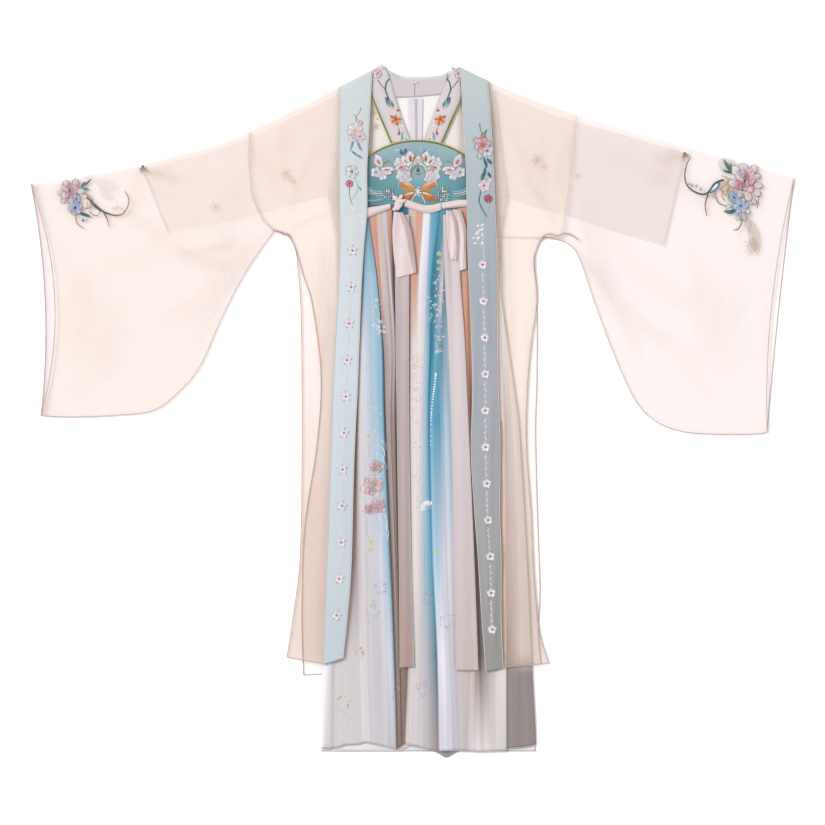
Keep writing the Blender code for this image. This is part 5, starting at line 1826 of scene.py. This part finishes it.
def stones():
    """Set stones: a block each side of the moth and a cluster on its body."""
    random.seed(5)
    gems = Stitching(STONE)
    for x0, x1, y0, y1 in ((-57, -37, 421, 447), (51, 73, 419, 448)):
        columns, rows = round((x1 - x0) / 3.7), round((y1 - y0) / 3.7)
        for i in range(columns):
            for j in range(rows):
                x, y = mix(x0, x1, (i + 0.5) / columns), mix(y0, y1, (j + 0.5) / rows)
                shade = random.choice((SMOKE, SMOKE, SMOKE, UMBER, DEEP_SEA, SILVER, WHITE))
                gems.gem(x + random.uniform(-0.4, 0.4), y + random.uniform(-0.4, 0.4), 1.7, shade)
    for k in range(14):
        reach = 1.2 + 0.62 * k
        gems.gem(11 + 0.62 * reach * math.cos(2.4 * k), 438 + 1.1 * reach * math.sin(2.4 * k), 1.8,
                 WHITE)
    keep(gems.lay("chest_stones", ["skirt_band_front", "chest_embroidery_moth"], 7.2, 0.1))


def sprinkle(work, x, y, reach, seed, light=0.6):
    """A ring of fine printed dots and short strokes, thinner at its middle."""
    chance = random.Random(seed)
    tones = (seen(150, 128, 122), seen(206, 178, 160), seen(176, 150, 150), seen(230, 196, 190))
    for k in range(46):
        angle = chance.uniform(0, 2 * math.pi)
        part = reach * chance.uniform(0.25, 1.0) ** 0.6
        spot_x, spot_y = x + 0.85 * part * math.cos(angle), y + part * math.sin(angle)
        tone = tones[k % 4]
        if k % 4 == 0:
            turn = math.degrees(angle) + chance.uniform(40, 110)
            work.leaf(spot_x, spot_y, turn, 0.3 * reach, 0.9, tone, tone, 0.3, 0.1, light)
        else:
            work.bead(spot_x, spot_y, chance.uniform(0.5, 0.9), tone, 0.1, light)


def scatter(work, edges, count, seed, tones, size, light):
    """Small printed petals and curls spread between two edges: left x, right x, y, from the top."""
    chance = random.Random(seed)
    for k in range(count):
        x0, x1, y = row_at(edges, chance.random())
        x = mix(x0, x1, chance.random())
        angle = chance.uniform(0, 360)
        tone = tones[k % len(tones)]
        if k % 3:
            length = size * chance.uniform(0.7, 1.3)
            work.petal(x, y, angle, length, 0.5 * length, tone, WHITE, 0.1, cover=light)
        else:
            turn, points = math.radians(angle), []
            for step in range(4):
                points.append((x + size * 0.6 * step * math.cos(turn),
                               y + size * 0.6 * step * math.sin(turn)))
                turn += 0.7
            work.stem(points, 0.9, tone, 0.6, 0.1, cover=light)


def skirt_prints():
    """Dyed motifs of the skirt's panels: peonies, waves, dotted rings and small gold flowers."""
    soft_pink, shell, mint = seen(240, 184, 190), seen(252, 236, 234), seen(176, 206, 198)
    frost, gold = seen(232, 238, 246), seen(222, 214, 140)
    left = Stitching(PRINT)
    for x, y, radius, turn in ((-72, -112, 15, 70), (-68, -190, 17, 30), (-86, -196, 12, 10),
                               (-80, -150, 24, 0)):
        peony(left, x, y, radius, turn, (shell, seen(248, 214, 216), WHITE), soft_pink, mint, 0.6)
    left.bead(-80, -150, 5, mint, 2.4, 0.7)
    for x, y, radius in ((-88, -50, 6), (-83, -262, 7), (-84, -276, 7), (-70, -60, 4), (53, 314, 6),
                         (53, 298, 6),
                         (52, 284, 4), (49, -282, 6)):
        left.flower(x, y, radius, 5, gold, seen(236, 232, 176), gold, 15, 0.1, 0.6)
    left.stem([(-92, -60), (-86, -80), (-92, -104), (-88, -124)], 1.4, soft_pink, 0.6, 0.1, cover=0.5)
    left.stem([(-88, -206), (-92, -236), (-84, -262)], 1.4, mint, 0.6, 0.1, cover=0.5)
    left.stem([(-72, -206), (-66, -240), (-72, -270)], 1.4, soft_pink, 0.6, 0.1, cover=0.5)
    for x, y, span, turn in ((-50, -66, 16, 60), (-52, -78, 18, 70), (-54, -92, 15, 80),
                             (-49, -106, 14, 62),
                             (-46, -214, 22, 60), (-48, -226, 18, 66), (-45, -238, 15, 60),
                             (-50, -206, 14, 75),
                             (-47, -250, 12, 70)):
        points = []
        for k in range(6):
            angle = math.radians(turn + 26 * (k - 3))
            points.append((x - span + 0.8 * span * math.cos(angle),
                           y - 0.5 * span + span * math.sin(angle)))
        left.stem(points, 1.8, frost, 0.5, 0.1, cover=0.75)
    scatter(left, ((-76, -66, 222), (-78, -62, 185), (-74, -58, 156)), 34, 3,
            (frost, WHITE, seen(200, 216, 236)), 8, 0.6)
    scatter(left, ((-92, -70, 20), (-86, -56, -40), (-88, -50, -100)), 20, 4, (frost, mint, soft_pink),
            7, 0.45)
    for k, (x, y, reach) in enumerate(((-63, -354, 16), (-82, -399, 22), (-140, -586, 19),
                                       (-28, -566, 17),
                                       (70, -418, 20), (20, -556, 18), (-105, -484, 12),
                                       (30, -374, 14))):
        sprinkle(left, x, y, reach, 20 + k)
    for x, y, radius in ((-104, -474, 4), (-101, -482, 3), (-144, -572, 3), (-26, -554, 3)):
        left.flower(x, y, radius, 5, seen(220, 150, 120), seen(234, 190, 170), seen(200, 120, 100), 0,
                    0.1, 0.7)
    keep(left.lay("skirt_prints_left", ["skirt_front"], 8.0, 0.12))

    right = Stitching(PRINT)
    dots = [(46.5, 74), (44, 50), (41, 28), (38, 0), (37, -22), (36, -68)]
    for k in range(24):
        x, y = row_at(dots, k / 23)
        right.bead(x, y, 2.0 - 0.045 * k, WHITE, 0.3, 1.0)
    for k in range(7):
        right.petal(30, -194, 60 + 22 * k, 17, 6, seen(140, 192, 212), WHITE, 0.1, cover=0.85)
    right.stem([(22, -186), (30, -196), (42, -192)], 1.6, soft_pink, 0.7, 0.2, cover=0.8)
    scatter(right, ((44, 60, 268), (46, 60, 200), (47, 56, 120)), 64, 5,
            (soft_pink, frost, mint, seen(214, 200, 220), shell), 7, 0.5)
    scatter(right, ((26, 36, 232), (26, 40, 205), (30, 42, 176)), 15, 6, (frost, WHITE, PALE_SEA), 6,
            0.45)
    scatter(right, ((0, 20, 110), (-2, 18, 0), (-2, 20, -180)), 60, 7,
            (soft_pink, seen(236, 206, 186), mint, shell), 10, 0.42)
    keep(right.lay("skirt_prints_right", ["skirt_front"], 8.0, 0.12))


def top_prints():
    """Orange blooms printed on the inner top, and pink ones on its sleeves."""
    work = Stitching(PRINT)
    orange = seen(240, 190, 156)
    for x, y, radius in ((-77, 596, 8), (-73, 568, 9), (-70, 584, 4)):
        work.flower(x, y, radius, 5, orange, seen(246, 216, 196), orange, 20, 0.1, 0.5)
    keep(work.lay("top_prints", ["top_front_left"], 4.8, 0.1))
    for side, spots in (("left", ((-253, 474, 14), (-395, 408, 12), (-240, 460, 9))),
                        ("right", ((249, 502, 14), (262, 488, 9), (330, 470, 8)))):
        work = Stitching(PRINT)
        for x, y, radius in spots:
            work.flower(x, y, radius, 5, seen(236, 176, 164), seen(244, 206, 194), seen(220, 150, 130),
                        40, 0.1, 0.22)
        keep(work.lay(f"top_sleeve_prints_{side}", [f"top_sleeve_{side}"], 4.0, 0.1))


# ---------------------------------------------------------------- studio

def studio():
    floor = bmesh.new()
    bmesh.ops.create_grid(floor, x_segments=2, y_segments=2, size=9000)
    bmesh.ops.translate(floor, vec=(0, 0, -0.6), verts=floor.verts)
    finish = Finish("studio_floor", roughness=0.9, specular_ior_level=0.1)
    grain = finish.noise(finish.place(), 40, 2.0)
    finish.feed("Base Color", finish.grey(0.93 + grain * 0.02))
    add_piece("floor", floor, finish.material)

    scene = bpy.context.scene
    world = bpy.data.worlds.new("soft_box")
    world.use_nodes = True
    world.node_tree.nodes["Background"].inputs["Color"].default_value = (1.0, 1.0, 1.0, 1.0)
    world.node_tree.nodes["Background"].inputs["Strength"].default_value = 0.86
    scene.world = world
    key = bpy.data.lights.new("key", "SUN")
    key.angle = math.radians(24)
    key.energy = 2.5
    stand = bpy.data.objects.new("key", key)
    stand.rotation_mode = "QUATERNION"
    stand.rotation_quaternion = Vector((1.0, -0.55, -0.95)).to_track_quat("-Z", "Y")
    scene.collection.objects.link(stand)

    camera = bpy.data.cameras.new("overhead")
    camera.lens = 150
    camera.sensor_width = 36
    reach = 1.65 * camera.lens / camera.sensor_width
    camera.clip_end = 4 * reach
    stand = bpy.data.objects.new("overhead", camera)
    stand.location = (0.0, -0.003, reach)
    scene.collection.objects.link(stand)
    scene.camera = stand
    scene.view_settings.view_transform = "Standard"
    scene.cycles.transparent_max_bounces = 36
    scene.cycles.max_bounces = 4
    scene.cycles.diffuse_bounces = 2


def main():
    studio()
    for side in ("left", "right"):
        top_sleeve(side)
        robe_sleeve(side)
    robe_back()
    robe_neck()
    top_body()
    top_collar()
    neck_fastening()
    chest_band()
    skirt_under()
    skirt_front()
    for side in ("left", "right"):
        robe_front(side)
        robe_band(side)
    ties()
    knot()
    robe_trims()
    sleeve_embroidery()
    for side in ("left", "right"):
        band_embroidery(side)
        collar_embroidery(side)
    chest_embroidery()
    stones()
    skirt_prints()
    top_prints()


main()
